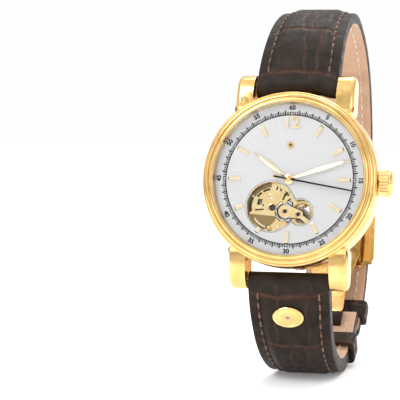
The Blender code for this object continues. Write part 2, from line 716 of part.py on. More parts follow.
def smooth_path(points, spacing):
    """Even stations along a smooth curve through the given points."""
    dense = []
    for k in range(len(points) - 1):
        p = [Vector(points[max(0, min(len(points) - 1, k + j))]) for j in (-1, 0, 1, 2)]
        for step in range(20):
            t = step / 20
            dense.append(0.5 * (2 * p[1] + (p[2] - p[0]) * t
                                + (2 * p[0] - 5 * p[1] + 4 * p[2] - p[3]) * t * t
                                + (3 * p[1] - p[0] - 3 * p[2] + p[3]) * t ** 3))
    dense.append(Vector(points[-1]))
    lengths = [0.0]
    for before, after in zip(dense, dense[1:]):
        lengths.append(lengths[-1] + (after - before).length)
    count = max(2, round(lengths[-1] / spacing))
    stations = []
    for k in range(count + 1):
        target = lengths[-1] * k / count
        j = max(1, next((i for i, s in enumerate(lengths) if s >= target - 1e-9), len(dense) - 1))
        share = (target - lengths[j - 1]) / (lengths[j] - lengths[j - 1])
        place = dense[j - 1].lerp(dense[j], share)
        along = (dense[j] - dense[j - 1]).normalized()
        stations.append((target, place, along))
    return stations


def ramp(value, low, high):
    return max(0.0, min(1.0, (value - low) / (high - low)))


def strap_section(width, outer, edge, inner):
    """Cross-section of a padded strap: flat lining, low edges and a raised middle."""
    half = width / 2
    right = [(half - 0.4, -inner), (half, 0.4 - inner), (half, edge - 0.4), (half - 0.5, edge),
             (half * 0.72, edge), (half * 0.52, outer)]
    return right + [(-x, v) for x, v in right[::-1]]


def strap_mesh(name, path, outward, end_half, nose_half, padded):
    """A strap half lofted along its path. Its first end wraps the spring bar at the path's start."""
    stations = smooth_path(path, 4.8)
    length = stations[-1][0]
    first = stations[0]
    lead = [(s, first[1] + first[2] * s, first[2]) for s in (-1.75, -1.35, -0.6)]
    shape = bmesh.new()
    rows = []
    for s, place, along in lead + stations:
        normal = Vector((-along.y, along.x)) * outward
        round_end = math.sqrt(max(0.0, 1 - (min(s, 0.0) / 1.9) ** 2))
        body = nose_half + (padded - nose_half) * ramp(s, 0, 8)
        body += (end_half - body) * ramp(s, 26, 52)
        outer = body * round_end
        inner = (nose_half + (end_half - nose_half) * ramp(s, 4, 40)) * round_end
        low = min(outer, (1.5 + (end_half - 1.5) * ramp(s, 12, 52)) * round_end)
        low = outer if s < 1 else outer + (low - outer) * ramp(s, 1, 6)
        width = STRAP_LUG_W + (STRAP_END_W - STRAP_LUG_W) * ramp(s, 6, 46)
        tip = ramp(s, length - 4.5, length)
        if path[-1] != CLASP_A:
            width -= 7.0 * tip * tip
        row = []
        for x, v in strap_section(width, outer, low, inner):
            spot = place + normal * v
            row.append(shape.verts.new((x, spot.x - path[0][0], spot.y - path[0][1])))
        rows.append(row)
    for before, after in zip(rows, rows[1:]):
        for k in range(len(before)):
            n = (k + 1) % len(before)
            shape.faces.new((before[k], before[n], after[n], after[k]))
    shape.faces.new(rows[0][::-1])
    shape.faces.new(rows[-1])
    bmesh.ops.recalc_face_normals(shape, faces=shape.faces)
    bmesh.ops.scale(shape, vec=(MM, MM, MM), verts=shape.verts)
    mesh = bpy.data.meshes.new(name)
    shape.to_mesh(mesh)
    shape.free()
    smooth(mesh)
    obj = link(bpy.data.objects.new(name, mesh))
    obj.location = (0, path[0][0] * MM, path[0][1] * MM)
    return obj


def bar_bore(axis, radius):
    return crosswise("bar_bore", ((0, 12.0), (radius, 12.0), (radius, -12.0), (0, -12.0)), axis)


upper = strap_mesh("strap_upper", UPPER_PATH, 1, 1.1, 1.9, 2.5)
upper_cuts = [bar_bore((BAR_Y, BAR_Z), BAR_R + 0.1)]
tongue_slot = extrude("tongue_slot", [oblong(0.95, 1.75, 0.6, 3)], 6.0)
tongue_slot.rotation_euler = (math.radians(90), 0, 0)
tongue_slot.location = (0, TONGUE_SLOT[0] * MM, TONGUE_SLOT[1] * MM)
upper_cuts.append(tongue_slot)
for y, z, lean in STRAP_HOLES:
    punched = extrude("strap_hole", [ring_points(0.8, 8)], 6.0)
    punched.rotation_euler = (math.radians(90 - lean), 0, 0)
    punched.location = (0, y * MM, z * MM)
    upper_cuts.append(punched)
paint(cut(upper, upper_cuts), leather)

lower = strap_mesh("strap_lower", LOWER_PATH, -1, 1.75, 1.9, 2.4)
end_notch = side("end_notch", [ring_points(3.0, 10, CLASP_A)], 4.5, CLASP_A)
hook_pocket = side("hook_pocket", [ring_points(2.3, 10, (39.0, -29.2))], 4.5, CLASP_A)
paint(cut(lower, [bar_bore((BAR_Y, -BAR_Z), BAR_R + 0.1), bar_bore(CLASP_A, 0.8), end_notch,
                  hook_pocket]), leather)

for name, z_sign in (("spring_bar_upper", 1), ("spring_bar_lower", -1)):
    profile = ((0, 11.8), (0.5, 11.8), (0.5, 9.9), (BAR_R, 9.8), (BAR_R, -9.8), (0.5, -9.9),
               (0.5, -11.8), (0, -11.8))
    paint(crosswise(name, profile, (BAR_Y, z_sign * BAR_Z)), steel)


def keeper(name, place, half_x, half_v):
    """A leather loop round the strap, placed by (y, z, angle of the strap's normal)."""
    outside = oblong(half_x + KEEPER_WALL, half_v + KEEPER_WALL, 1.1)
    obj = extrude(name, [outside, oblong(half_x, half_v, 0.5)], KEEPER_LENGTH)
    obj.rotation_euler = (math.radians(place[2]), 0, 0)
    obj.location = (0, place[0] * MM, place[1] * MM)
    return paint(obj, leather)


keeper_tail = keeper("keeper_tail", KEEPER_TAIL, 8.3, 1.45)
keeper_strap = keeper("keeper_strap", KEEPER_STRAP, 8.3, 2.2)

badge = extrude("strap_badge", [ring_points(1.0, 28)], 0.6)
for vertex in badge.data.vertices:
    vertex.co.x *= BADGE_HALF[0]
    vertex.co.y *= BADGE_HALF[1]
badge.rotation_euler = (math.radians(BADGE[2]), 0, 0)
badge.location = (0, BADGE[0] * MM, BADGE[1] * MM)
paint(bevel(badge, 0.15), gold)

# ---------------------------------------------------------------- clasp


def taper(obj, start, end, share):
    """Narrows a piece across X between two heights of its own outline."""
    for vertex in obj.data.vertices:
        vertex.co.z *= 1 + (share - 1) * ramp(vertex.co.y, start * MM, end * MM)
    return obj


def knuckle(axis, outer, count=10):
    return ring_points(outer, count, axis)


def hinge_bore(axis, radius):
    return crosswise("hinge_bore", ((0, 12.0), (radius, 12.0), (radius, -12.0), (0, -12.0)), axis,
                     10)


BASE_PATH = ((41.95, -26.75), (42.5, -25.6), (44.3, -21.6), (45.8, -17.0), (46.9, -12.0),
             (47.55, -7.0), (47.85, -3.0), (48.0, -1.9))
base = side("clasp_base_blade", [strip(BASE_PATH, 0.4)], 6.8, CLASP_B)
taper(base, -10.0, -20.0, 0.6)
hook = arc(1.75, 70, 268, 9, CLASP_A) + arc(0.95, 262, 76, 7, CLASP_A)
base_hook = side("base_hook", [hook], 4.1, CLASP_A)
base_knuckle = side("base_knuckle", [knuckle(CLASP_B, 0.95)], 2.9, CLASP_B)
base_gap = side("base_gap", [((46.2, -2.9), (50.2, -2.9), (50.2, 1.2), (46.2, 1.2))], 3.0,
                CLASP_B, 5.9)
other_gap = side("base_gap", [((46.2, -2.9), (50.2, -2.9), (50.2, 1.2), (46.2, 1.2))], 3.0,
                 CLASP_B, -5.9)
cut(base, [base_gap, other_gap])
join(base, [base_hook, base_knuckle])
cut(base, [hinge_bore(CLASP_B, 0.5)])
paint(base, gold)

MIDDLE_PATH = ((49.95, -14.1), (49.4, -10.5), (49.15, -7.5), (48.95, -4.8), (48.75, -2.6),
               (48.6, -1.6))
middle = side("clasp_middle_blade", [strip(MIDDLE_PATH, 0.3)], 6.2, CLASP_C)
middle_fork = side("middle_gap", [((47.0, -2.2), (50.5, -2.2), (50.5, 1.0), (47.0, 1.0))], 3.0,
                   CLASP_B)
lower_gap = [((48.0, -15.6), (51.5, -15.6), (51.5, -12.9), (48.0, -12.9))]
cut(middle, [middle_fork, side("middle_notch", lower_gap, 2.2, CLASP_C, 5.2),
             side("middle_notch", lower_gap, 2.2, CLASP_C, -5.2)])
join(middle, [side("middle_knuckle", [knuckle(CLASP_B, 0.95)], 1.55, CLASP_B, 4.65),
              side("middle_knuckle", [knuckle(CLASP_B, 0.95)], 1.55, CLASP_B, -4.65),
              side("middle_eye", [knuckle(CLASP_C, 0.85)], 2.9, CLASP_C)])
cut(middle, [hinge_bore(CLASP_B, 0.5), hinge_bore(CLASP_C, 0.45)])
paint(middle, gold)

PLATE_PATH = ((50.4, -13.9), (50.75, -12.0), (50.75, -8.0), (50.75, -1.0))
cover = side("buckle_frame", [strip(PLATE_PATH, 0.3)], 9.4, TONGUE_AXIS)
wall_outline = [(50.35, -12.6), (51.8, -12.9), (53.6, -11.8), (54.9, -8.5), (55.3, -4.5),
                (55.0, -1.6), (54.2, -0.7), (52.0, -0.6), (50.35, -0.9)]
walls = [side("frame_wall", [wall_outline], 0.7, TONGUE_AXIS, x) for x in (-9.1, 9.1)]
crossbar = side("frame_bar", [[(53.75, -3.6), (54.7, -3.8), (54.95, -2.4), (54.7, -1.0),
                               (53.75, -1.2)]], 9.4, TONGUE_AXIS)
ears = [side("frame_ear", [knuckle(CLASP_C, 0.85)], 1.9, CLASP_C, x) for x in (-5.0, 5.0)]
cut(cover, [side("frame_notch", [[(49.0, -16.0), (52.0, -16.0), (52.0, -12.95), (49.0, -12.95)]],
                 3.05, TONGUE_AXIS),
            side("tongue_notch", [[(49.0, -12.0), (52.0, -12.0), (52.0, -9.6), (49.0, -9.6)]],
                 1.1, TONGUE_AXIS)])
join(cover, walls + [crossbar] + ears
     + [side("tongue_bar", [knuckle(TONGUE_AXIS, 0.36)], 1.6, TONGUE_AXIS)])
cut(cover, [hinge_bore(CLASP_C, 0.45)])
paint(cover, gold)

TONGUE_PATH = ((51.1, -11.0), (52.3, -10.75), (53.6, -10.1), (54.7, -7.4), (55.4, -4.4),
               (55.55, -1.9))
tongue = side("buckle_tongue", [strip(TONGUE_PATH, 0.3)], 0.65, TONGUE_AXIS)
join(tongue, [side("tongue_eye", [knuckle(TONGUE_AXIS, 0.75)], 0.65, TONGUE_AXIS)])
cut(tongue, [hinge_bore(TONGUE_AXIS, 0.43)])
paint(tongue, gold)


def cross_pin(name, axis, radius, half):
    """A plain steel pin across the strap."""
    profile = ((0, half), (radius, half), (radius, -half), (0, -half))
    return paint(crosswise(name, profile, axis, 12), steel)


pin_top = cross_pin("clasp_pin_top", CLASP_B, 0.42, 6.1)
pin_bottom = cross_pin("clasp_pin_bottom", CLASP_C, 0.38, 6.8)
clasp_bar = cross_pin("clasp_spring_bar", CLASP_A, 0.7, 7.6)


def carry(carrier, riders):
    """The riders turn with their carrier, and stay where they are now."""
    bpy.context.view_layer.update()
    for rider in riders:
        rider.parent = carrier
        rider.matrix_parent_inverse = carrier.matrix_world.inverted()


carry(base, [pin_top])
carry(middle, [base])
carry(cover, [tongue, middle])
carry(upper, [keeper_tail, cover, pin_bottom])
carry(lower, [keeper_strap, badge, clasp_bar])
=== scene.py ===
"""The looks of an open-heart wristwatch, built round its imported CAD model.

World frame, in metres: the dial faces -Y, twelve o'clock is +Z and the crown is at +X.
Sizes below are in millimetres. A place on the watch head is (x, y, h): x to three o'clock,
y to twelve, and h the height above the back face, so that the world's y is -h.
A place on the strap is (y, z) of the world.
"""

import json
import math

import bmesh
import bpy
import numpy as np
from mathutils import Matrix, Vector


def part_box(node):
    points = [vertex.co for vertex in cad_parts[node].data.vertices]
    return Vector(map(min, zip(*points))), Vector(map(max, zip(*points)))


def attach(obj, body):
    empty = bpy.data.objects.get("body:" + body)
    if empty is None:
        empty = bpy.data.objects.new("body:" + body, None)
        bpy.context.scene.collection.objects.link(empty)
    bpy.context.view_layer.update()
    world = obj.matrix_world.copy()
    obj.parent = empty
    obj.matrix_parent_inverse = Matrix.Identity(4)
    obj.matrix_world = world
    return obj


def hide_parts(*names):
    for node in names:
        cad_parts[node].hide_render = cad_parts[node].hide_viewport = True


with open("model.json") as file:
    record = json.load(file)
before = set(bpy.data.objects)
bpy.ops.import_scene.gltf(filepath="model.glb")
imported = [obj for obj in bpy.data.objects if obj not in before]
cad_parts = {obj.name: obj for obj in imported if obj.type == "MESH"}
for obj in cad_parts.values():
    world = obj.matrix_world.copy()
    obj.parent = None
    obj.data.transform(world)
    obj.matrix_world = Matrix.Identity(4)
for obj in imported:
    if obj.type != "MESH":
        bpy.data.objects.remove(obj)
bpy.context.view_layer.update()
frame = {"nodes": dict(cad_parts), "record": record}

MM = 0.001
HEAD = Matrix.Rotation(math.radians(90), 4, "X") @ Matrix.Scale(MM, 4)
BODY = {node: body for body, nodes in frame["record"]["behaviour"]["bodies"].items()
        for node in nodes}
RANDOM = np.random.default_rng(12)

# Camera: where it stands, what it looks at, and how far it leans
CAMERA_AT = (113.4, -512.4, -66.8)
CAMERA_AIM = (-21.3, -9.3, -5.3)
CAMERA_LEAN = 2.96
CAMERA_LENS = 200.0
FLOOR_TILT = 12.0

# Axes and windows, as (x, y) and (x, y, radius)
ESCAPE = (-4.0, -6.6)
FORK = (-0.85, -7.45)
BALANCE = (2.33, -8.1)
THIRD = (-7.4, 1.75)
WINDOW_LARGE = (-4.1, -6.5, 5.85)
WINDOW_SMALL = (3.0, -7.7, 3.0)
FRONT_SCREWS = (((0.05, -5.75), -35), ((-0.2, -9.2), 20))

# Crown
CROWN_FLUTES = 26
FLUTE_DEPTH = 0.26

# Dial
TICKS = 240
TRACK_R = 15.25
TICK_END_R = 16.35
SUB_TICK_END_R = 16.0
NUMERAL_R = 16.95
HOUR_ANGLE = 306.0
MINUTE_ANGLE = 72.0
SECOND_ANGLE = 99.6

# Strap
LUG_WIDTH = 19.4
END_WIDTH = 16.0
LOOP_HALF = 1.9
FACE_POINTS = 59
LINING_POINTS = 21
STITCH_INSET = 2.3
STITCH_PITCH = 2.3
UPPER_PATH = ((-3.8, 23.2), (-0.4, 31.0), (6.2, 38.4), (15.5, 43.3), (26.0, 44.4), (36.2, 41.3),
              (44.6, 33.4), (50.0, 21.5), (52.1, 9.0), (52.35, 0.0), (52.4, -8.0), (52.25, -13.0),
              (51.2, -18.0), (48.9, -23.6), (45.8, -29.4), (42.2, -34.6))
LOWER_PATH = ((-3.8, -23.2), (-0.6, -30.6), (5.2, -37.0), (13.2, -40.6), (22.0, -41.4),
              (30.4, -38.9), (37.0, -33.8), (41.5, -28.0))
CLASP_A = (41.5, -28.0)
HOOK_POCKET = (39.0, -29.2)
TONGUE_SLOT = (52.3, -11.0)
STRAP_HOLES = ((52.0, 11.5, 4), (52.35, 4.0, 0), (48.9, -22.6, -25))
KEEPER_TAIL = (47.4, -26.6, -28.0)
KEEPER_STRAP = (33.9, -36.4, -52.0)
BADGE = (-3.45, -31.9, 115.5)


def heights(node):
    """Lowest and highest point of a node above the watch's back, in millimetres."""
    low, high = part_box(node)
    return -high.y / MM, -low.y / MM


# ---------------------------------------------------------------- camera, light and floor

def make_camera():
    data = bpy.data.cameras.new("camera")
    data.lens = CAMERA_LENS
    data.clip_start = 0.01
    camera = bpy.data.objects.new("camera", data)
    bpy.context.scene.collection.objects.link(camera)
    camera.location = Vector(CAMERA_AT) * MM
    look = (Vector(CAMERA_AIM) - Vector(CAMERA_AT)).to_track_quat("-Z", "Y").to_matrix()
    camera.rotation_euler = (look @ Matrix.Rotation(math.radians(CAMERA_LEAN), 3, "Z")).to_euler()
    bpy.context.scene.camera = camera


def make_lamp(name, place, size, power):
    data = bpy.data.lights.new(name, "AREA")
    data.energy = power
    data.size = size
    lamp = bpy.data.objects.new(name, data)
    bpy.context.scene.collection.objects.link(lamp)
    lamp.location = place
    lamp.rotation_euler = (-Vector(place)).to_track_quat("-Z", "Y").to_euler()


def make_world():
    """A pale studio. Seen directly it is white; as light it has pale and grey bands."""
    world = bpy.data.worlds.new("studio")
    bpy.context.scene.world = world
    world.use_nodes = True
    nodes = world.node_tree.nodes
    links = world.node_tree.links
    where = nodes.new("ShaderNodeTexCoord")
    parts = nodes.new("ShaderNodeSeparateXYZ")
    height = nodes.new("ShaderNodeMapRange")
    height.inputs["From Min"].default_value = -1
    tone = nodes.new("ShaderNodeValToRGB")
    stops = ((0.0, 0.6), (0.44, 0.78), (0.5, 0.4), (0.54, 0.82), (0.6, 0.95), (0.7, 0.62),
             (0.8, 0.8), (0.88, 1.0))
    while len(tone.color_ramp.elements) < len(stops):
        tone.color_ramp.elements.new(0.5)
    for element, (place, value) in zip(tone.color_ramp.elements, stops):
        element.position = place
        element.color = (value, value, value, 1)
    links.new(where.outputs["Generated"], parts.inputs[0])
    links.new(parts.outputs["Z"], height.inputs["Value"])
    links.new(height.outputs[0], tone.inputs[0])
    seen = nodes.new("ShaderNodeLightPath")
    white = nodes.new("ShaderNodeMix")
    white.data_type = "RGBA"
    white.inputs[7].default_value = (0.9, 0.9, 0.9, 1)
    nodes["Background"].inputs["Strength"].default_value = 1.1
    links.new(seen.outputs["Is Camera Ray"], white.inputs[0])
    links.new(tone.outputs[0], white.inputs[6])
    links.new(white.outputs[2], nodes["Background"].inputs["Color"])


def make_floor():
    """A plain pale floor. The watch leans back on its strap, so in its frame the floor tilts."""
    turn = Matrix.Rotation(math.radians(FLOOR_TILT), 3, "X")
    mesh = bpy.data.meshes.new("floor")
    shape = bmesh.new()
    bmesh.ops.create_grid(shape, x_segments=1, y_segments=1, size=0.9)
    shape.to_mesh(mesh)
    shape.free()
    floor = bpy.data.objects.new("floor", mesh)
    bpy.context.scene.collection.objects.link(floor)
    floor.rotation_euler = (math.radians(FLOOR_TILT), 0, 0)
    floor.location = lowest_along(turn.col[2])
    made = bpy.data.materials.new("floor")
    made.use_nodes = True
    shader = made.node_tree.nodes["Principled BSDF"]
    shader.inputs["Base Color"].default_value = (0.93, 0.93, 0.93, 1)
    shader.inputs["Roughness"].default_value = 0.7
    shader.inputs["Specular IOR Level"].default_value = 0.1
    shader.inputs["Emission Color"].default_value = (1, 1, 1, 1)
    shader.inputs["Emission Strength"].default_value = 0.16
    mesh.materials.append(made)


def lowest_along(normal):
    """The point of the CAD model that lies furthest against a direction."""
    points = []
    for node in frame["nodes"].values():
        co = np.empty(len(node.data.vertices) * 3)
        node.data.vertices.foreach_get("co", co)
        points.append(co.reshape(-1, 3))
    points = np.concatenate(points)
    return Vector(points[(points @ np.array(normal)).argmin()])


# ---------------------------------------------------------------- material helpers

def material(name, **sockets):
    """A Principled material with some of its sockets set by name, _ for a space."""
    made = bpy.data.materials.new(name)
    made.use_nodes = True
    shader = made.node_tree.nodes["Principled BSDF"]
    for socket, value in sockets.items():
        shader.inputs[socket.replace("_", " ")].default_value = value
    return made


def add(made, kind, inputs, **settings):
    """A node of a material. Each input takes another node's socket or a value."""
    node = made.node_tree.nodes.new("ShaderNode" + kind)
    for key, value in settings.items():
        setattr(node, key, value)
    for key, value in inputs.items():
        if isinstance(value, bpy.types.NodeSocket):
            made.node_tree.links.new(value, node.inputs[key])
        else:
            node.inputs[key].default_value = value
    return node


def wire(made, socket, value):
    """Links a value to a socket of the material's shader."""
    made.node_tree.links.new(value, made.node_tree.nodes["Principled BSDF"].inputs[socket])


def place_of(made, stretch=(1, 1, 1)):
    """Coordinates in metres in the watch's frame, stretched along each axis."""
    where = add(made, "TexCoord", {})
    return add(made, "Mapping", {0: where.outputs["Object"], "Scale": stretch}).outputs[0]


def noise(made, scale, detail=3.0, stretch=(1, 1, 1)):
    inputs = {"Vector": place_of(made, stretch), "Scale": scale, "Detail": detail,
              "Roughness": 0.55}
    return add(made, "TexNoise", inputs).outputs["Fac"]


def line_noise(made, along, scale, detail=2.0):
    """Noise that changes only with one value, for brushed lines."""
    inputs = {"W": along, "Scale": scale, "Detail": detail}
    return add(made, "TexNoise", inputs, noise_dimensions="1D").outputs["Fac"]


def spread(made, value, low, high, start=0.35, end=0.65):
    """The value between start and end, mapped to low and high."""
    return add(made, "MapRange", {0: value, 1: start, 2: end, 3: low, 4: high}).outputs[0]


def mixed(made, share, first, second):
    return add(made, "Mix", {0: share, 6: first, 7: second}, data_type="RGBA").outputs[2]


def maths(made, operation, first, second=0.0):
    return add(made, "Math", {0: first, 1: second}, operation=operation).outputs[0]


def bump(made, height, distance, strength=1.0, normal=None):
    inputs = {"Height": height, "Distance": distance, "Strength": strength}
    if normal is not None:
        inputs["Normal"] = normal
    return add(made, "Bump", inputs).outputs[0]


def round_the_head(made):
    """Angle about the watch head's axis and distance from it, as sockets."""
    parts = add(made, "SeparateXYZ", {0: place_of(made)})
    angle = maths(made, "ARCTAN2", parts.outputs["X"], parts.outputs["Z"])
    flat = add(made, "CombineXYZ", {"X": parts.outputs["X"], "Y": parts.outputs["Z"]}).outputs[0]
    distance = add(made, "VectorMath", {0: flat}, operation="LENGTH").outputs["Value"]
    return angle, distance


def edge_wear(made, colour, worn):
    """The colour, turning to the worn one along sharp outer edges."""
    sharp = add(made, "NewGeometry", {}).outputs["Pointiness"]
    return mixed(made, spread(made, sharp, 0, 0.8, 0.53, 0.62), colour, worn)


# ---------------------------------------------------------------- materials

def metal(name, light, dark, worn, gloss=(0.08, 0.2)):
    """Polished metal: two close tones, uneven gloss, fine scratches and worn edges."""
    made = material(name, Metallic=1.0)
    tone = mixed(made, spread(made, noise(made, 240), 0, 1), dark, light)
    wire(made, "Base Color", edge_wear(made, tone, worn))
    wire(made, "Roughness", spread(made, noise(made, 900, 5), gloss[0], gloss[1]))
    hair = noise(made, 2500, 2, (1, 9, 1))
    wire(made, "Normal", bump(made, hair, 0.000004))
    return made


def brushed_ring(name, light, dark):
    """Metal brushed in circles about the watch head."""
    made = material(name, Metallic=1.0)
    lines = line_noise(made, round_the_head(made)[1], 9000)
    wire(made, "Base Color", mixed(made, spread(made, lines, 0, 1), dark, light))
    wire(made, "Roughness", spread(made, noise(made, 500), 0.24, 0.4))
    wire(made, "Normal", bump(made, lines, 0.000008))
    return made


def striped(name, light, dark):
    """Movement plate with broad polished stripes and fine graining."""
    made = material(name, Metallic=1.0)
    where = place_of(made, (1, 0.0, 0.7))
    inputs = {"Vector": where, "Scale": 190.0, "Distortion": 0.0}
    bands = add(made, "TexWave", inputs, wave_profile="SAW", bands_direction="DIAGONAL")
    grain = noise(made, 3000, 2, (1, 1, 6))
    tone = mixed(made, spread(made, bands.outputs["Fac"], 0, 1, 0.0, 1.0), dark, light)
    wire(made, "Base Color", edge_wear(made, tone, light))
    wire(made, "Roughness", spread(made, grain, 0.2, 0.36))
    height = maths(made, "MULTIPLY_ADD", bands.outputs["Fac"], 3.0)
    made.node_tree.links.new(grain, height.node.inputs[2])
    wire(made, "Normal", bump(made, height, 0.00001))
    return made


def pearled(name, light, dark):
    """Movement plate ground in small overlapping circles."""
    made = material(name, Metallic=1.0)
    inputs = {"Vector": place_of(made, (1, 0.0, 1)), "Scale": 900.0, "Randomness": 0.25}
    cells = add(made, "TexVoronoi", inputs).outputs["Distance"]
    rings = maths(made, "SINE", maths(made, "MULTIPLY", cells, 40.0))
    wire(made, "Base Color", mixed(made, spread(made, rings, 0, 1, -1.0, 1.0), dark, light))
    wire(made, "Roughness", spread(made, noise(made, 1200), 0.22, 0.4))
    wire(made, "Normal", bump(made, rings, 0.000006))
    return made


def sunburst(name):
    """Silvered dial: fine lines from the centre, and a greyer zone outside the track."""
    made = material(name, Metallic=0.12)
    angle, distance = round_the_head(made)
    rays = line_noise(made, angle, 55, 4)
    grains = noise(made, 5000, 2)
    centre = mixed(made, spread(made, rays, 0, 1), (0.68, 0.685, 0.70, 1), (0.78, 0.78, 0.785, 1))
    outside = mixed(made, spread(made, grains, 0, 1), (0.66, 0.67, 0.70, 1), (0.75, 0.76, 0.785, 1))
    edge = TRACK_R * MM
    zone = spread(made, distance, 0, 1, edge, edge + 0.00008)
    wire(made, "Base Color", mixed(made, zone, centre, outside))
    wire(made, "Roughness", spread(made, rays, 0.3, 0.46))
    wire(made, "Normal", bump(made, grains, 0.000003))
    return made


def ink(name, colour):
    """Raised pad print with a little unevenness."""
    made = material(name, Specular_IOR_Level=0.2)
    paler = tuple(c * 1.6 + 0.004 for c in colour[:3]) + (1,)
    tone = spread(made, noise(made, 4000), 0, 1)
    wire(made, "Base Color", mixed(made, tone, colour, paler))
    wire(made, "Roughness", spread(made, noise(made, 2500), 0.35, 0.6))
    wire(made, "Normal", bump(made, noise(made, 6000), 0.000004))
    return made


def gem(name, deep, pale):
    """Polished synthetic ruby in two close, uneven tones."""
    made = material(name, IOR=1.6, Transmission_Weight=0.1)
    wire(made, "Base Color", mixed(made, spread(made, noise(made, 1800), 0, 1), deep, pale))
    wire(made, "Roughness", spread(made, noise(made, 3000), 0.03, 0.1))
    return made


def sapphire(name):
    """Thin clear crystal: it mirrors more at a grazing angle and is otherwise see-through."""
    made = material(name, Metallic=1.0)
    wire(made, "Base Color", mixed(made, noise(made, 60), (0.93, 0.97, 1, 1), (1, 1, 1, 1)))
    wire(made, "Roughness", spread(made, noise(made, 150, 4), 0.0, 0.035))
    glance = add(made, "Fresnel", {"IOR": 1.35}).outputs[0]
    wire(made, "Alpha", maths(made, "MULTIPLY", glance, 0.5))
    return made


def croc_leather(name, grooved=True):
    """Embossed leather: dark glazed scales, warm creases and fine pores.

    The creases come from the mesh's groove attribute or, without one, from a cell pattern.
    """
    dark_scale = (0.013, 0.0085, 0.0065, 1)
    pale_scale = (0.034, 0.022, 0.016, 1)
    crease = (0.11, 0.044, 0.028, 1)
    made = material(name, Coat_Weight=0.03, Coat_Roughness=0.3, Specular_IOR_Level=0.14)
    tone = mixed(made, spread(made, noise(made, 330, 6), 0, 1, 0.3, 0.7), dark_scale, pale_scale)
    if grooved:
        groove = add(made, "Attribute", {}, attribute_name="groove").outputs["Fac"]
    else:
        inputs = {"Vector": place_of(made), "Scale": 210.0}
        cells = add(made, "TexVoronoi", inputs, feature="DISTANCE_TO_EDGE").outputs["Distance"]
        groove = spread(made, cells, 1, 0, 0.0, 0.07)
    patchy = maths(made, "MULTIPLY", groove, spread(made, noise(made, 420), 0.25, 1))
    wire(made, "Base Color", edge_wear(made, mixed(made, patchy, tone, crease), pale_scale))
    pores = add(made, "TexVoronoi", {"Vector": place_of(made), "Scale": 2400.0}).outputs["Distance"]
    wire(made, "Roughness", spread(made, noise(made, 700, 5), 0.36, 0.58))
    rough = bump(made, noise(made, 1300, 6), 0.00007, 0.8)
    fine = bump(made, pores, 0.00003, 0.8, rough)
    wire(made, "Normal", fine if grooved else bump(made, groove, -0.00012, 1.0, fine))
    return made


def lining(name):
    """Tan calf lining with a soft nap, darker in patches."""
    made = material(name, Sheen_Weight=0.25, Sheen_Roughness=0.5)
    patches = spread(made, noise(made, 130, 6), 0, 1, 0.3, 0.7)
    wire(made, "Base Color", mixed(made, patches, (0.50, 0.30, 0.19, 1), (0.68, 0.45, 0.30, 1)))
    wire(made, "Roughness", spread(made, noise(made, 900), 0.6, 0.85))
    folds = bump(made, noise(made, 260, 3), 0.0001, 0.6)
    wire(made, "Normal", bump(made, noise(made, 2600, 5), 0.00004, 0.8, folds))
    return made


def thread(name, dark, light):
    """Waxed twisted thread: its plies are slanted ridges, and its colour is patchy."""
    made = material(name, Sheen_Weight=0.2)
    inputs = {"Vector": place_of(made), "Scale": 420.0, "Distortion": 1.5}
    plies = add(made, "TexWave", inputs, bands_direction="DIAGONAL").outputs["Fac"]
    patches = spread(made, noise(made, 500), 0, 1, 0.42, 0.58)
    wire(made, "Base Color", mixed(made, patches, dark, light))
    wire(made, "Roughness", spread(made, noise(made, 2000), 0.45, 0.7))
    wire(made, "Normal", bump(made, plies, 0.00003))
    return made


def moulded(name, dark, light):
    """Matt rubber, paint, or the near-black of painted shade, with a fine grain."""
    made = material(name)
    wire(made, "Base Color", mixed(made, noise(made, 800), dark, light))
    wire(made, "Roughness", spread(made, noise(made, 1500), 0.5, 0.8))
    wire(made, "Normal", bump(made, noise(made, 3000), 0.00001))
    return made


GOLD = metal("gold", (0.96, 0.66, 0.27, 1), (0.86, 0.55, 0.19, 1), (1.0, 0.82, 0.48, 1))
PALE_GOLD = metal("pale_gold", (1.0, 0.82, 0.50, 1), (0.94, 0.73, 0.39, 1), (1.0, 0.92, 0.72, 1))
# Dark bronze-gold: on the rehaut its darkness is painted shade between bezel and dial; on the badge it
# is the star's own tone.
BRONZE_AND_SHADE = metal("bronze_gold_and_painted_shade", (0.42, 0.31, 0.18, 1), (0.32, 0.23, 0.12, 1), (0.8, 0.62, 0.36, 1),
               (0.25, 0.4))
MOVEMENT_GOLD = metal("movement_gold", (1.0, 0.81, 0.43, 1), (0.93, 0.69, 0.31, 1),
                      (1.0, 0.88, 0.60, 1), (0.14, 0.3))
STRIPED_GOLD = striped("striped_gold", (0.98, 0.77, 0.42, 1), (0.80, 0.56, 0.25, 1))
PEARLED_GOLD = pearled("pearled_gold", (0.97, 0.75, 0.39, 1), (0.78, 0.55, 0.24, 1))
BRASS = metal("wheel_brass", (0.95, 0.74, 0.36, 1), (0.80, 0.57, 0.24, 1), (1, 0.86, 0.55, 1),
              (0.16, 0.32))
STEEL = metal("steel", (0.70, 0.70, 0.72, 1), (0.50, 0.50, 0.53, 1), (0.9, 0.9, 0.92, 1))
BRUSHED_GOLD = brushed_ring("brushed_gold", (0.85, 0.62, 0.29, 1), (0.6, 0.41, 0.17, 1))
BRUSHED_STEEL = brushed_ring("brushed_steel", (0.62, 0.62, 0.64, 1), (0.42, 0.42, 0.44, 1))
BLUE_STEEL = metal("blue_steel", (0.08, 0.20, 0.72, 1), (0.04, 0.09, 0.40, 1),
                   (0.30, 0.45, 0.85, 1), (0.1, 0.22))
# Brown painted shade for the window's depths: gold parts seen deep in shade.
BROWN_DEPTH_SHADE = metal("brown_depth_shade_metal", (0.17, 0.105, 0.035, 1), (0.085, 0.05, 0.015, 1), (0.4, 0.28, 0.12, 1),
              (0.3, 0.45))
DIAL = sunburst("silver_dial")
INK = ink("track_ink", (0.003, 0.003, 0.004, 1))
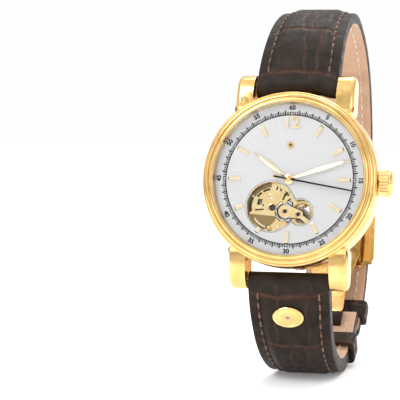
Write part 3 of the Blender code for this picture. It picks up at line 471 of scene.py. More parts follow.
# Painted shade: a matt near-black laid in recesses, holes, slots and gaps where shade falls.
SHADE = moulded("recess_painted_shade", (0.02, 0.014, 0.008, 1), (0.05, 0.035, 0.02, 1))
RUBY = gem("ruby", (0.010, 0.002, 0.022, 1), (0.04, 0.006, 0.07, 1))
GLASS = sapphire("glass")
RUBBER = moulded("rubber", (0.015, 0.015, 0.016, 1), (0.04, 0.04, 0.042, 1))
CROC = croc_leather("croc_leather")
CROC_TRIM = croc_leather("croc_leather_trim", grooved=False)
LINING = lining("calf_lining")
THREAD = thread("thread", (0.12, 0.05, 0.03, 1), (0.30, 0.13, 0.07, 1))
LINING_THREAD = thread("lining_thread", (0.62, 0.48, 0.36, 1), (0.80, 0.68, 0.54, 1))


# ---------------------------------------------------------------- mesh helpers

def finished(shape, place):
    """The mesh of a bmesh drawn in millimetres, moved to its place in metres."""
    bmesh.ops.remove_doubles(shape, verts=shape.verts, dist=0.0004)
    bmesh.ops.recalc_face_normals(shape, faces=shape.faces)
    bmesh.ops.transform(shape, matrix=place, verts=shape.verts)
    mesh = bpy.data.meshes.new("made")
    shape.to_mesh(mesh)
    shape.free()
    return mesh


def drawn(curve, place):
    """The welded mesh of a curve or text."""
    obj = bpy.data.objects.new("drawn", curve)
    bpy.context.scene.collection.objects.link(obj)
    graph = bpy.context.evaluated_depsgraph_get()
    mesh = bpy.data.meshes.new_from_object(obj.evaluated_get(graph))
    bpy.data.objects.remove(obj, do_unlink=True)
    shape = bmesh.new()
    shape.from_mesh(mesh)
    return finished(shape, place)


def plate(loops, low, high, place=HEAD):
    """A flat outline with holes, filled between two heights."""
    curve = bpy.data.curves.new("outline", "CURVE")
    curve.dimensions = "2D"
    curve.fill_mode = "BOTH"
    curve.extrude = (high - low) / 2
    for loop in loops:
        spline = curve.splines.new("POLY")
        spline.points.add(len(loop) - 1)
        for point, (x, y) in zip(spline.points, loop):
            point.co = (x, y, 0, 1)
        spline.use_cyclic_u = True
    return drawn(curve, place @ Matrix.Translation((0, 0, (low + high) / 2)))


def turned(profile, at=(0, 0), segments=128, place=HEAD):
    """A closed outline of (radius, height) turned about an axis."""
    shape = bmesh.new()
    rings = []
    for k in range(segments):
        a = 2 * math.pi * k / segments
        rings.append([shape.verts.new((at[0] + r * math.cos(a), at[1] + r * math.sin(a), h))
                      for r, h in profile])
    for k in range(segments):
        near, far = rings[k], rings[(k + 1) % segments]
        for j in range(len(profile)):
            n = (j + 1) % len(profile)
            shape.faces.new((near[j], far[j], far[n], near[n]))
    return finished(shape, place)


def lofted(rows):
    """A skin through rows of points, with a flat face at each end."""
    shape = bmesh.new()
    rings = [[shape.verts.new(point) for point in row] for row in rows]
    for near, far in zip(rings, rings[1:]):
        for k in range(len(near)):
            n = (k + 1) % len(near)
            shape.faces.new((near[k], near[n], far[n], far[k]))
    shape.faces.new(rings[0])
    shape.faces.new(rings[-1])
    return shape


def stroke(path, radius, closed=False, place=HEAD, sides=2):
    """A round bar along a path of points."""
    curve = bpy.data.curves.new("stroke", "CURVE")
    curve.dimensions = "3D"
    curve.bevel_depth = radius
    curve.bevel_resolution = sides
    curve.use_fill_caps = not closed
    spline = curve.splines.new("POLY")
    spline.points.add(len(path) - 1)
    for point, spot in zip(spline.points, path):
        point.co = (*spot, 1)
    spline.use_cyclic_u = closed
    return drawn(curve, place)


def lettering(text, size, at, turn, low, high):
    """Characters centred on a point of the dial, turned clockwise by an angle in degrees."""
    curve = bpy.data.curves.new("lettering", "FONT")
    curve.body = text
    curve.size = size
    curve.align_x = "CENTER"
    curve.align_y = "CENTER"
    curve.resolution_u = 4
    curve.extrude = (high - low) / 2
    curve.offset = 0.065
    spot = Matrix.Translation((at[0], at[1], (low + high) / 2))
    return drawn(curve, HEAD @ spot @ Matrix.Rotation(-math.radians(turn), 4, "Z"))


def joined(meshes):
    """One mesh of several."""
    shape = bmesh.new()
    for mesh in meshes:
        shape.from_mesh(mesh)
    whole = bpy.data.meshes.new("joined")
    shape.to_mesh(whole)
    shape.free()
    return whole


def piece(name, mesh, surface, body, replaces=(), edge=0.0, sharp=35):
    """A finished piece of the watch: its materials, rounded edges and body."""
    mesh.name = name
    for one in surface if isinstance(surface, (list, tuple)) else (surface,):
        mesh.materials.append(one)
    mesh.shade_smooth()
    mesh.set_sharp_from_angle(angle=math.radians(sharp))
    obj = bpy.data.objects.new(name, mesh)
    bpy.context.scene.collection.objects.link(obj)
    if edge:
        step = obj.modifiers.new("edge", "BEVEL")
        step.width = edge * MM
        step.segments = 2
        step.limit_method = "ANGLE"
        step.angle_limit = math.radians(38)
        step.harden_normals = True
    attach(obj, body)
    if replaces:
        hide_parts(*replaces)
    return obj


def refined(node, surface, edge):
    """A CAD node's own shape with its facets merged, its edges rounded and smooth sides."""
    shape = bmesh.new()
    shape.from_mesh(frame["nodes"][node].data)
    bmesh.ops.remove_doubles(shape, verts=shape.verts, dist=0.000002)
    bmesh.ops.dissolve_limit(shape, angle_limit=math.radians(0.5), verts=shape.verts,
                             edges=shape.edges)
    mesh = bpy.data.meshes.new(node)
    shape.to_mesh(mesh)
    shape.free()
    mesh.materials.clear()
    return piece(node + "_fine", mesh, surface, BODY[node], (node,), edge)


def dress(node, surface):
    """Gives a CAD node that is shown as it is its finished material."""
    slots = frame["nodes"][node].material_slots
    if slots:
        slots[0].material = surface
    else:
        frame["nodes"][node].data.materials.append(surface)


def arc(radius, first, last, count, centre=(0.0, 0.0)):
    """Points along an arc, angles in degrees anticlockwise from +x."""
    turn = [math.radians(first + (last - first) * k / (count - 1)) for k in range(count)]
    return [(centre[0] + radius * math.cos(a), centre[1] + radius * math.sin(a)) for a in turn]


def circle(radius, count=96, centre=(0.0, 0.0)):
    return arc(radius, 0, 360 - 360 / count, count, centre)


def softened(points, cut, steps=3):
    """A closed outline with each corner rounded off."""
    result = []
    for k, point in enumerate(points):
        here = Vector(point)
        before = Vector(points[k - 1]) - here
        after = Vector(points[(k + 1) % len(points)]) - here
        start = here + before.normalized() * min(cut, before.length * 0.45)
        end = here + after.normalized() * min(cut, after.length * 0.45)
        for step in range(steps + 1):
            t = step / steps
            result.append(tuple(start * (1 - t) ** 2 + here * 2 * t * (1 - t) + end * t * t))
    return result


def between(p, t):
    """A point of the smooth line through four points, t of the way from the second to the third."""
    return 0.5 * (2 * p[1] + (p[2] - p[0]) * t
                  + (2 * p[0] - 5 * p[1] + 4 * p[2] - p[3]) * t * t
                  + (3 * p[1] - p[0] - 3 * p[2] + p[3]) * t ** 3)


def flowing(points, steps):
    """A closed smooth outline through the points."""
    result = []
    for k in range(len(points)):
        p = [Vector(points[(k + j) % len(points)]) for j in (-1, 0, 1, 2)]
        result += [tuple(between(p, step / steps)) for step in range(steps)]
    return result


def two_circles(large, small, grow=0.0):
    """Outline round two overlapping circles, each (x, y, radius)."""
    x1, y1, r1 = large[0], large[1], large[2] + grow
    x2, y2, r2 = small[0], small[1], small[2] + grow
    gap = math.hypot(x2 - x1, y2 - y1)
    lean = math.degrees(math.atan2(y2 - y1, x2 - x1))
    half1 = math.degrees(math.acos((r1 * r1 + gap * gap - r2 * r2) / (2 * r1 * gap)))
    half2 = math.degrees(math.acos((r2 * r2 + gap * gap - r1 * r1) / (2 * r2 * gap)))
    first = arc(r1, lean + half1, lean + 360 - half1, 48, (x1, y1))
    second = arc(r2, lean - 180 + half2, lean + 180 - half2, 48, (x2, y2))
    return first[:-1] + second[:-1]


def clock(radius, degrees):
    """The point of the dial at a radius and an angle clockwise from twelve."""
    a = math.radians(degrees)
    return radius * math.sin(a), radius * math.cos(a)


def leaning(y, z, lean, axis="X"):
    """The point (y, z) of the watch's middle plane, turned about an axis, still in metres."""
    return Matrix.Translation((0, y * MM, z * MM)) @ Matrix.Rotation(math.radians(lean), 4, axis)


def across(y, z):
    """Place of a piece turned about an axis across the strap, through (y, z)."""
    return leaning(y, z, 90, "Y") @ Matrix.Scale(MM, 4)


def clockwise(turn):
    """Place of a shape drawn towards twelve and turned clockwise on the dial."""
    return HEAD @ Matrix.Rotation(-math.radians(turn), 4, "Z")


# ---------------------------------------------------------------- case

def make_case():
    middle = softened([(19.14, 9.2), (20.2, 9.2), (20.55, 8.6), (20.8, 7.9), (20.8, 2.9),
                       (20.3, 1.9), (19.5, 1.32), (17.25, 1.3), (17.25, 2.85), (15.9, 2.85),
                       (15.9, 4.3), (17.25, 4.3), (17.25, 8.8), (19.14, 8.8)], 0.35)
    piece("case_body", turned(middle, segments=160), GOLD, "case", ("case_middle",), 0.2, 50)
    lugs = []
    outline = flowing([(-8.3, 15.5), (-8.34, 17.2), (-8.2, 18.9), (-7.95, 20.5), (-7.55, 22.0),
                       (-6.95, 23.4), (-6.1, 24.5), (-4.9, 25.25), (-3.5, 25.45), (-2.1, 25.0),
                       (-1.2, 23.9), (-0.9, 22.2), (-1.1, 19.5), (-1.9, 15.5)], 6)
    for x_sign in (-1, 1):
        for z_sign in (-1, 1):
            loop = [(y, z * z_sign) for y, z in outline]
            lugs.append(rounded_slab(loop, x_sign * 10.0, x_sign * 14.2, 1.3))
    piece("lugs", joined(lugs), GOLD, "case", (), 0.2, 60)

    rim = [(18.06, 10.68), (18.06, 11.34), (18.16, 11.46), (18.4, 11.48), (18.7, 11.4),
           (18.95, 11.24), (19.06, 11.06), (19.12, 10.84), (19.2, 10.82), (19.27, 10.98),
           (19.45, 11.02), (19.75, 10.94), (20.0, 10.76), (20.14, 10.54), (20.19, 10.34),
           (20.27, 10.33), (20.34, 10.42), (20.5, 10.34), (20.64, 10.14), (20.68, 9.9),
           (20.68, 9.55), (20.5, 9.28), (19.14, 9.22), (19.14, 10.68)]
    piece("bezel_fine", turned(rim, segments=192), GOLD, "case", ("bezel",), 0, 40)

    # The rehaut's dark bronze is painted shade for the shaded ring between bezel and dial.
    slope = [(17.75, 9.36), (18.1, 10.62), (19.05, 10.62), (19.05, 9.36)]
    piece("rehaut_fine", turned(slope, segments=160), BRONZE_AND_SHADE, "case",
          ("rehaut_ring",))
    dome = [(0, 11.97)] + [(r, 11.97 - 0.5 * (r / 18.0) ** 2) for r in np.linspace(2, 17.7, 12)]
    dome += [(18.02, 11.3), (18.02, 10.72), (0, 10.72)]
    piece("front_crystal_fine", turned(dome, segments=128), GLASS, "case",
          ("front_crystal",), 0, 40)


def rounded_slab(loop, inner, outer, radius):
    """A slab across the watch with this (y, z) outline, its outer rim rounded over.

    The rim is inset along the outline's normals, so a tight corner can fold over itself.
    """
    loop = np.array(loop)
    along = np.roll(loop, -1, 0) - np.roll(loop, 1, 0)
    inward = np.stack([-along[:, 1], along[:, 0]], -1)
    inward /= np.linalg.norm(inward, axis=1, keepdims=True)
    if np.dot(inward[0], loop.mean(0) - loop[0]) < 0:
        inward = -inward
    sign = math.copysign(1, outer - inner)
    stations = [(inner, 0.0)] + [(outer - sign * radius * (1 - math.sin(a)),
                                  radius * (1 - math.cos(a))) for a in np.radians(range(0, 91, 10))]
    rows = [[(y, z, x) for y, z in loop + inward * inset] for x, inset in stations]
    return finished(lofted(rows), sideways())


def sideways():
    """Place of an outline drawn in (y, z) of the world and extruded across the watch."""
    return (Matrix.Rotation(math.radians(90), 4, "Z") @ Matrix.Rotation(math.radians(90), 4, "X")
            @ Matrix.Scale(MM, 4))


def make_crown():
    low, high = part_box("crown")
    radius = high.z / MM
    start, end = low.x / MM, high.x / MM
    centre = (low.y + high.y) / 2 / MM
    steps = CROWN_FLUTES * 8
    flutes = []
    for k in range(steps):
        a = 2 * math.pi * k / steps
        reach = radius - FLUTE_DEPTH * abs(math.sin(CROWN_FLUTES / 2 * a)) ** 3
        flutes.append((reach * math.cos(a), reach * math.sin(a)))
    body = plate([flutes], start, start + 2.0, across(centre, 0))
    cap = turned(softened([(0, end), (1.5, end - 0.02), (2.5, end - 0.3), (2.92, end - 0.75),
                           (2.92, start + 0.4), (0, start + 0.4)], 0.3), segments=64,
                 place=across(centre, 0))
    piece("crown_fine", joined([body, cap]), GOLD, "stem", ("crown",), 0.12)


def make_back():
    ring = softened([(11.5, 2.25), (17.05, 2.25), (17.05, 0.5), (16.6, 0.06), (12.04, 0.06),
                     (12.04, 1.3), (11.5, 1.3)], 0.15)
    obj = piece("case_back_fine", turned(ring, segments=160), BRUSHED_STEEL, "case",
                ("case_back_ring",))
    spots = [(15.2 * math.cos(a), 15.2 * math.sin(a)) for a in np.radians((45, 135, 225, 315))]
    carve(obj, joined([plate([circle(0.85, 24, at)], -0.5, 0.7) for at in spots]))
    # Painted shade: dark discs at the bottom of the four holes, and thin dark rings for grooves along
    # the ring's edges.
    dark = [plate([circle(0.84, 24, at)], 0.5, 0.6) for at in spots]
    dark += [plate([circle(r + 0.09, 160), circle(r - 0.09, 160)], h, h + 0.02)
             for r, h in ((12.3, 0.03), (16.5, 0.03))]
    piece("case_back_shade_marks", joined(dark), SHADE, "case")
    disc = softened([(0, 1.18), (11.98, 1.18), (11.98, 0.02), (0, 0.02)], 0.12)
    piece("back_crystal_fine", turned(disc, segments=96), GLASS, "case",
          ("back_crystal",))


def carve(obj, mesh):
    """Cuts a mesh out of a piece for good."""
    cutter = bpy.data.objects.new("cutter", mesh)
    bpy.context.scene.collection.objects.link(cutter)
    step = obj.modifiers.new("carve", "BOOLEAN")
    step.operation = "DIFFERENCE"
    step.object = cutter
    graph = bpy.context.evaluated_depsgraph_get()
    cut = bpy.data.meshes.new_from_object(obj.evaluated_get(graph))
    obj.modifiers.clear()
    obj.data = cut
    bpy.data.objects.remove(cutter, do_unlink=True)


# ---------------------------------------------------------------- dial

def make_dial():
    top = heights("dial")[1]
    window = two_circles(WINDOW_LARGE, WINDOW_SMALL)
    loops = [circle(18.9, 160), window, circle(0.95, 32)]
    piece("dial_fine", plate(loops, *heights("dial")), DIAL, "case", ("dial",), 0.03)
    trim = [(x, y, top + 0.02) for x, y in two_circles(WINDOW_LARGE, WINDOW_SMALL, 0.12)]
    piece("window_trim", stroke(trim, 0.2, True, sides=3), STEEL, "case")
    inner = [(x, y, top - 0.35) for x, y in two_circles(WINDOW_LARGE, WINDOW_SMALL, 0.02)]
    piece("window_lip", stroke(inner, 0.1, True), MOVEMENT_GOLD, "case")

    print_low, print_high = top - 0.005, top + 0.02
    track = [plate([circle(TRACK_R + 0.12, 160), circle(TRACK_R - 0.12, 160)],
                   print_low, print_high)]
    for k in range(TICKS):
        turn = k * 360 / TICKS
        if k % (TICKS // 12) == 0:
            dot = circle(0.2, 12, clock((TRACK_R + TICK_END_R) / 2, turn))
            track.append(plate([dot], print_low, print_high))
            continue
        end, half = (TICK_END_R, 0.16) if k % (TICKS // 60) == 0 else (SUB_TICK_END_R, 0.11)
        track.append(tick(turn, TRACK_R, end, half, print_low, print_high))
    piece("minute_track", joined(track), INK, "case")

    numbers = []
    for k in range(1, 13):
        turn = 30 * k
        upright = turn + 180 if 100 < turn < 260 else turn
        numbers.append(lettering(str(5 * k), 1.5, clock(NUMERAL_R, turn), upright, print_low,
                                 print_high))
    piece("track_numerals", joined(numbers), INK, "case")

    low, high = top - 0.02, top + 0.34
    markers = []
    for hour in (1, 2, 3, 4, 5, 6, 9, 10, 11):
        start, end = (12.2, 15.0) if hour == 6 else (11.65, 14.5)
        markers.append(tick(30 * hour, start, end, 0.44, low, high))
    for hour in (7, 8):
        markers.append(tick(30 * hour, 13.2 if hour == 7 else 12.4, 14.5, 0.44, low, high))
    piece("hour_markers", joined(markers), PALE_GOLD, "case", (), 0.14)
    # Painted shade: a dark band across the outer end of each marker, for its shaded end face.
    ends = []
    for hour in range(1, 12):
        end = 15.0 if hour == 6 else 14.5
        ends.append(tick(30 * hour, end - 0.02, end + 0.1, 0.4, low, high - 0.15))
    piece("marker_end_shade", joined(ends), INK, "case")
    piece("numeral_twelve", lettering("12", 4.1, (0, 13.35), 0, low, high), PALE_GOLD, "case",
          (), 0.08)
    petals = [plate([lozenge(1.15, 0.3)], low, high - 0.1,
                    HEAD @ Matrix.Translation((0, 8.1, 0)) @ Matrix.Rotation(math.pi * k / 4, 4, "Z"))
              for k in range(4)]
    piece("dial_ornament", joined(petals), GOLD, "case", (), 0.05)


def tick(turn, start, end, half, low, high):
    """A bar of the dial that points away from the centre."""
    outline = [(-half, start), (half, start), (half, end), (-half, end)]
    return plate([outline], low, high, clockwise(turn))


def lozenge(half_long, half_wide):
    return [(half_long, 0), (0, half_wide), (-half_long, 0), (0, -half_wide)]


def faceted(stations, low, high):
    """A hand along +y whose two top faces meet in a ridge. Stations are (y, half width)."""
    edge = low + (high - low) * 0.35
    return lofted([((-half, y, low), (half, y, low), (half, y, edge), (0, y, high), (-half, y, edge))
                   for y, half in stations])


def make_hands():
    for name, length, wide, hub, turn, body in (
            ("hour_hand", 10.4, 0.62, 1.2, HOUR_ANGLE, "hours"),
            ("minute_hand", 15.7, 0.50, 0.92, MINUTE_ANGLE, "minutes")):
        low, high = heights(name)
        spot = clockwise(turn)
        blade = faceted(((0.5, 0.24), (hub + 0.6, 0.26), (length * 0.55, wide),
                         (length * 0.85, wide * 0.5), (length, 0.03)), low, high + 0.08)
        boss = softened([(0.45, low), (hub, low), (hub, high), (hub * 0.7, high + 0.1),
                         (0.45, high + 0.1)], 0.08)
        piece(name + "_fine", joined([finished(blade, spot), turned(boss, segments=48)]),
              PALE_GOLD, body, (name,), 0, 20)
    low, high = heights("seconds_hand")
    spot = clockwise(SECOND_ANGLE)
    needle = plate([[(-0.22, -3.6), (0.22, -3.6), (0.22, 4), (0.17, 15.7), (-0.17, 15.7),
                     (-0.22, 4)]], low, high, spot)
    frame_loop = [(-0.47, -3.9), (0.47, -3.9), (0.47, -2.9), (-0.47, -2.9)]
    paddle = plate([frame_loop], low - 0.02, low + 0.04, spot)
    piece("seconds_paddle", paddle, GOLD, "seconds")
    boss = softened([(0, high + 0.22), (0.3, high + 0.22), (0.62, high), (0.62, low), (0, low)], 0.1)
    piece("seconds_hand_fine", needle, INK, "seconds", ("seconds_hand",), 0.03)
    piece("seconds_hub", turned(boss, segments=40), GOLD, "seconds")


# ---------------------------------------------------------------- movement

def make_movement():
    shown = (
        (PEARLED_GOLD, "movement_gold", 0.06, ("main_plate",)),
        (STRIPED_GOLD, "movement_gold", 0.09, ("barrel_bridge", "train_bridge", "balance_cock")),
        (BLUE_STEEL, "blue_steel", 0.02,
         ("screw_barrel_bridge", "screw_train_bridge", "screw_balance_cock", "rotor_screw")),
        (MOVEMENT_GOLD, "movement_gold", 0.04, ("balance_wheel",)),
        (STEEL, "steel", 0.02, ("escape_wheel", "pallet_fork", "rotor_bearing")),
        (BRUSHED_GOLD, "steel", 0.02, ("ratchet_wheel", "crown_wheel")),
        (BRASS, "wheel_brass", 0.02,
         ("seconds_wheel", "third_wheel", "centre_wheel", "barrel_drum")))
    for surface, slot, edge, nodes in shown:
        for node in nodes:
            refined(node, surface, edge)
    plain = {"hairspring": BLUE_STEEL, "barrel_cover": BRASS, "hour_wheel": BRASS,
             "barrel_arbor": STEEL, "mainspring": STEEL,
             "cannon_pinion": STEEL, "minute_wheel": STEEL, "winding_stem": STEEL,
             "winding_pinion": STEEL, "crown_tube": STEEL, "movement_ring": BRUSHED_GOLD,
             "back_gasket": RUBBER, "spring_bar_upper": STEEL, "spring_bar_lower": STEEL,
             "clasp_pin_top": STEEL, "clasp_pin_bottom": STEEL, "clasp_spring_bar": STEEL}
    for node, surface in plain.items():
        dress(node, surface)
    make_window_plate(heights("main_plate")[1])


def make_window_plate(high):
    """What shows in the dial's window: a pierced gold plate over sheets of painted shade, and its
    bridge.
    """
    middle = WINDOW_LARGE[:2]
    hollow = [(-9.0, -8.15), (-2.9, -8.6), (-3.4, -9.8), (-4.6, -11.0), (-5.7, -11.75)]
    hollow += arc(5.55, 250, 199, 12, middle)
    depths = [softened(hollow, 0.15), sector(middle, 4.95, 5.65, 154, 192),
              sector(middle, 4.1, 4.6, 98, 122), sector(middle, 4.1, 4.6, 128, 146),
              bar((-7.35, -5.25), 0.7, 1.5, -12), bar((-6.75, -5.2), 0.3, 1.3, -12),
              bar((-7.2, -7.1), 2.1, 0.36, 4), bar((-2.2, -2.1), 0.36, 1.2, 8),
              bar((-1.3, -3.9), 0.45, 1.8, -20), circle(0.25, 12, (-6.3, -6.0)),
              bar((-3.1, -1.95), 0.38, 0.9, -20), bar((-0.6, -3.2), 0.4, 1.3, 35),
              bar((-0.1, -4.7), 1.0, 0.45, 40), sector(FORK, 1.66, 2.62, 112, 262),
              circle(2.45, 40, (3.1, -7.75))]
    cover = two_circles(WINDOW_LARGE, WINDOW_SMALL, 0.4)
    piece("window_plate", plate([cover] + depths, high + 0.02, high + 0.08), MOVEMENT_GOLD, "case",
          (), 0.02)
    # Painted shade: a near-black sheet just above the main plate, seen through the openings as the
    # movement's dark depths.
    shade = [arc(6.0, 62, 262, 40, middle) + [(-3.4, -10.9), (-2.2, -10.1), (-0.6, -5.6), (0.6, -4.2)]]
    piece("window_depth_shade", plate(shade, high + 0.002, high + 0.012), SHADE, "case")
    # Brown painted shade: an arc on the plate and a sheet under its large hollow, for deeper parts in
    # shade.
    arcs = [plate([sector(middle, 4.75, 5.75, 94, 150)], high + 0.07, high + 0.1),
            plate([hollow], high + 0.014, high + 0.018)]
    piece("window_brown_shade", joined(arcs), BROWN_DEPTH_SHADE, "case")
    light = plate([sector(middle, 4.7, 5.05, 212, 252)], high + 0.07, high + 0.1)
    piece("window_arc", light, PALE_GOLD, "case")

    low, top = heights("dial_side_bridge")
    waist = [arc(1.6, 62, 300, 30, FORK) + arc(1.15, -60, 42, 16, BALANCE)]
    rims = [arc(1.84, 56, 306, 30, FORK) + arc(1.39, -66, 48, 16, BALANCE)]
    piece("window_bridge_shade", plate(rims, low + 0.01, low + 0.03), SHADE, "case")
    arm = [softened([(2.6, -8.9), (3.3, -8.2), (5.9, -10.2), (5.2, -11.0)], 0.3)]
    piece("window_bridge", joined([plate(waist, low, top), plate(arm, low, top - 0.06)]),
          MOVEMENT_GOLD, "case", ("dial_side_bridge",), 0.12)
    ring = stroke([(x, y, high + 0.22) for x, y in arc(2.2, 116, 258, 32, FORK)], 0.19)
    marks = [stroke([(x, y, high + 0.14) for x, y in arc(0.5, 60, 330, 16, (-4.5, -3.9))], 0.1),
             stroke([(x, y, high + 0.12) for x, y in arc(0.36, 0, 340, 16, (-2.4, -11.3))], 0.09)]
    piece("window_steel_ring", joined([ring] + marks), STEEL, "case")
    rings = [chaton(ESCAPE, 7.98, 0.7, 1.1), chaton(BALANCE, top, 0.6, 0.78),
             chaton(FORK, top, 0.6, 0.78)]
    piece("front_chatons", joined(rings), GOLD, "case")
    stones = [stone(ESCAPE, 8.42, 0.74), stone(BALANCE, top + 0.06, 0.62),
              stone(FORK, top + 0.06, 0.62)]
    piece("front_jewels", joined(stones), RUBY, "case",
          ("jewel_escape_front", "jewel_fork_front", "jewel_balance_front"))
    screws = [slotted(at, high + 0.1, top + 0.05, 0.72, turn) for at, turn in FRONT_SCREWS]
    piece("front_screws", joined(screws), STEEL, "case", (), 0.05)
    # Painted shade: dark bars in the screw slots and dark rings round the screw heads.
    slots = [plate([bar(at, 1.3, 0.26, turn)], top - 0.04, top + 0.01)
             for at, turn in FRONT_SCREWS]
    slots += [plate([circle(0.9, 28, at), circle(0.72, 28, at)], high + 0.1, high + 0.22)
              for at, _ in FRONT_SCREWS]
    piece("front_screw_slot_shade", joined(slots), SHADE, "case")
    rivet = turned(softened([(0, 8.05), (0.45, 8.05), (0.62, 7.9), (0.62, 7.75), (0, 7.75)], 0.1),
                   (-4.6, -11.45), 24)
    piece("plate_rivet", rivet, GOLD, "case")


def stone(at, top, radius):
    """A domed jewel with its oil cup sunk in the top."""
    return turned([(0, top - 0.06), (0.12, top - 0.03), (radius * 0.7, top), (radius, top - 0.14),
                   (radius, top - 0.5), (0, top - 0.5)], at, 28)


def bar(at, wide, tall, turn):
    """A small oblong outline, turned anticlockwise."""
    a = math.radians(turn)
    corners = [(-wide / 2, -tall / 2), (wide / 2, -tall / 2), (wide / 2, tall / 2),
               (-wide / 2, tall / 2)]
    loop = [(at[0] + x * math.cos(a) - y * math.sin(a), at[1] + x * math.sin(a) + y * math.cos(a))
            for x, y in corners]
    return softened(loop, 0.12)


def sector(centre, inner, outer, first, last):
    """Outline of part of a ring."""
    return arc(outer, first, last, 14, centre) + arc(inner, last, first, 14, centre)


def chaton(at, high, inner, outer):
    """A polished setting ring round a jewel."""
    return turned(softened([(inner, high - 0.2), (outer, high - 0.2), (outer, high + 0.03),
                            (inner + 0.08, high + 0.1), (inner, high + 0.02)], 0.05), at, 32)


def slotted(at, low, high, radius, turn):
    """A screw head with its slot cut across it; the slot faces the end named high."""
    depth = (high - low) * 0.45
    spot = HEAD @ Matrix.Translation((*at, 0)) @ Matrix.Rotation(math.radians(turn), 4, "Z")
    meshes = []
    for sign in (-1, 1):
        loop = [(x, sign * y) for x, y in arc(radius, 12, 168, 14)]
        meshes.append(plate([loop], high - depth, high, spot))
    meshes.append(turned([(0, high - depth), (radius, high - depth), (radius, low), (0, low)], at, 28))
    return joined(meshes)


def make_back_view():
    low = heights("rotor")[0]
    refined("rotor", STRIPED_GOLD, 0.12)
    loop = sector((0, 0), 11.2, 14.2, 186, 354)
    piece("rotor_weight", plate([loop], low - 0.14, low + 0.3), MOVEMENT_GOLD, "rotor",
          (), 0.1)
    lines = [stroke([(x, y, low - 0.13) for x, y in arc(r, 188, 352, 48)], 0.06)
             for r in (11.9, 13.5)]
    beads = [turned([(0, low - 0.26), (0.16, low - 0.22), (0.22, low - 0.1), (0, low - 0.1)],
                    clock(12.7, turn), 10) for turn in range(100, 261, 8)]
    piece("rotor_engraving", joined(lines + beads), GOLD, "rotor")
    low = heights("train_bridge")[0]
    jewels = []
    rings = []
    for at, size in ((BALANCE, 0.75), (ESCAPE, 0.6), (THIRD, 0.65), (FORK, 0.5)):
        jewels.append(turned(softened([(0, low - 0.07), (size * 0.4, low - 0.1), (size, low - 0.06),
                                       (size, low + 0.1), (0, low + 0.1)], 0.06), at, 24))
        rings.append(turned(softened([(size, low - 0.1), (size + 0.3, low - 0.08),
                                      (size + 0.3, low + 0.1), (size, low + 0.1)], 0.05), at, 28))
    piece("back_jewels", joined(jewels), RUBY, "case")
    piece("back_chatons", joined(rings), GOLD, "case")
    spots = ((-9.6, 8.4), (-6.3, -10.2), (11.2, 7.5), (3.4, 12.4), (-12.4, 3.2))
    screws = [slotted(at, low + 0.1, low - 0.18, 0.7, 20 + 40 * k) for k, at in enumerate(spots)]
    piece("back_screws", joined(screws), BLUE_STEEL, "case", (), 0.03)


# ---------------------------------------------------------------- strap

def ramp(value, low, high):
    return np.clip((np.asarray(value, float) - low) / (high - low), 0, 1)


def smooth_step(value):
    value = np.clip(value, 0, 1)
    return value * value * (3 - 2 * value)


class Route:
    """A smooth line through the given (y, z) points, measured by the distance along it."""

    def __init__(self, points, outward):
        dense = []
        for k in range(len(points) - 1):
            p = [np.array(points[max(0, min(len(points) - 1, k + j))]) for j in (-1, 0, 1, 2)]
            dense += [between(p, t) for t in np.arange(20) / 20]
        dense.append(np.array(points[-1]))
        self.line = np.array(dense)
        self.far = np.concatenate([[0], np.cumsum(np.linalg.norm(np.diff(self.line, axis=0), axis=1))])
        self.length = self.far[-1]
        self.outward = outward

    def at(self, s):
        """Places at the distances s; before the start the line runs straight on."""
        s = np.asarray(s, float)
        spot = np.stack([np.interp(s, self.far, self.line[:, k]) for k in (0, 1)], -1)
        early = np.minimum(s, 0)[..., None]
        return spot + early * self.along(np.zeros_like(s))

    def along(self, s):
        gap = 0.4
        s = np.clip(s, gap, self.length - gap)
        ends = [np.stack([np.interp(s + d, self.far, self.line[:, k]) for k in (0, 1)], -1)
                for d in (-gap, gap)]
        step = ends[1] - ends[0]
        return step / np.linalg.norm(step, axis=-1, keepdims=True)

    def normal(self, s):
        along = self.along(s)
        return np.stack([-along[..., 1], along[..., 0]], -1) * self.outward


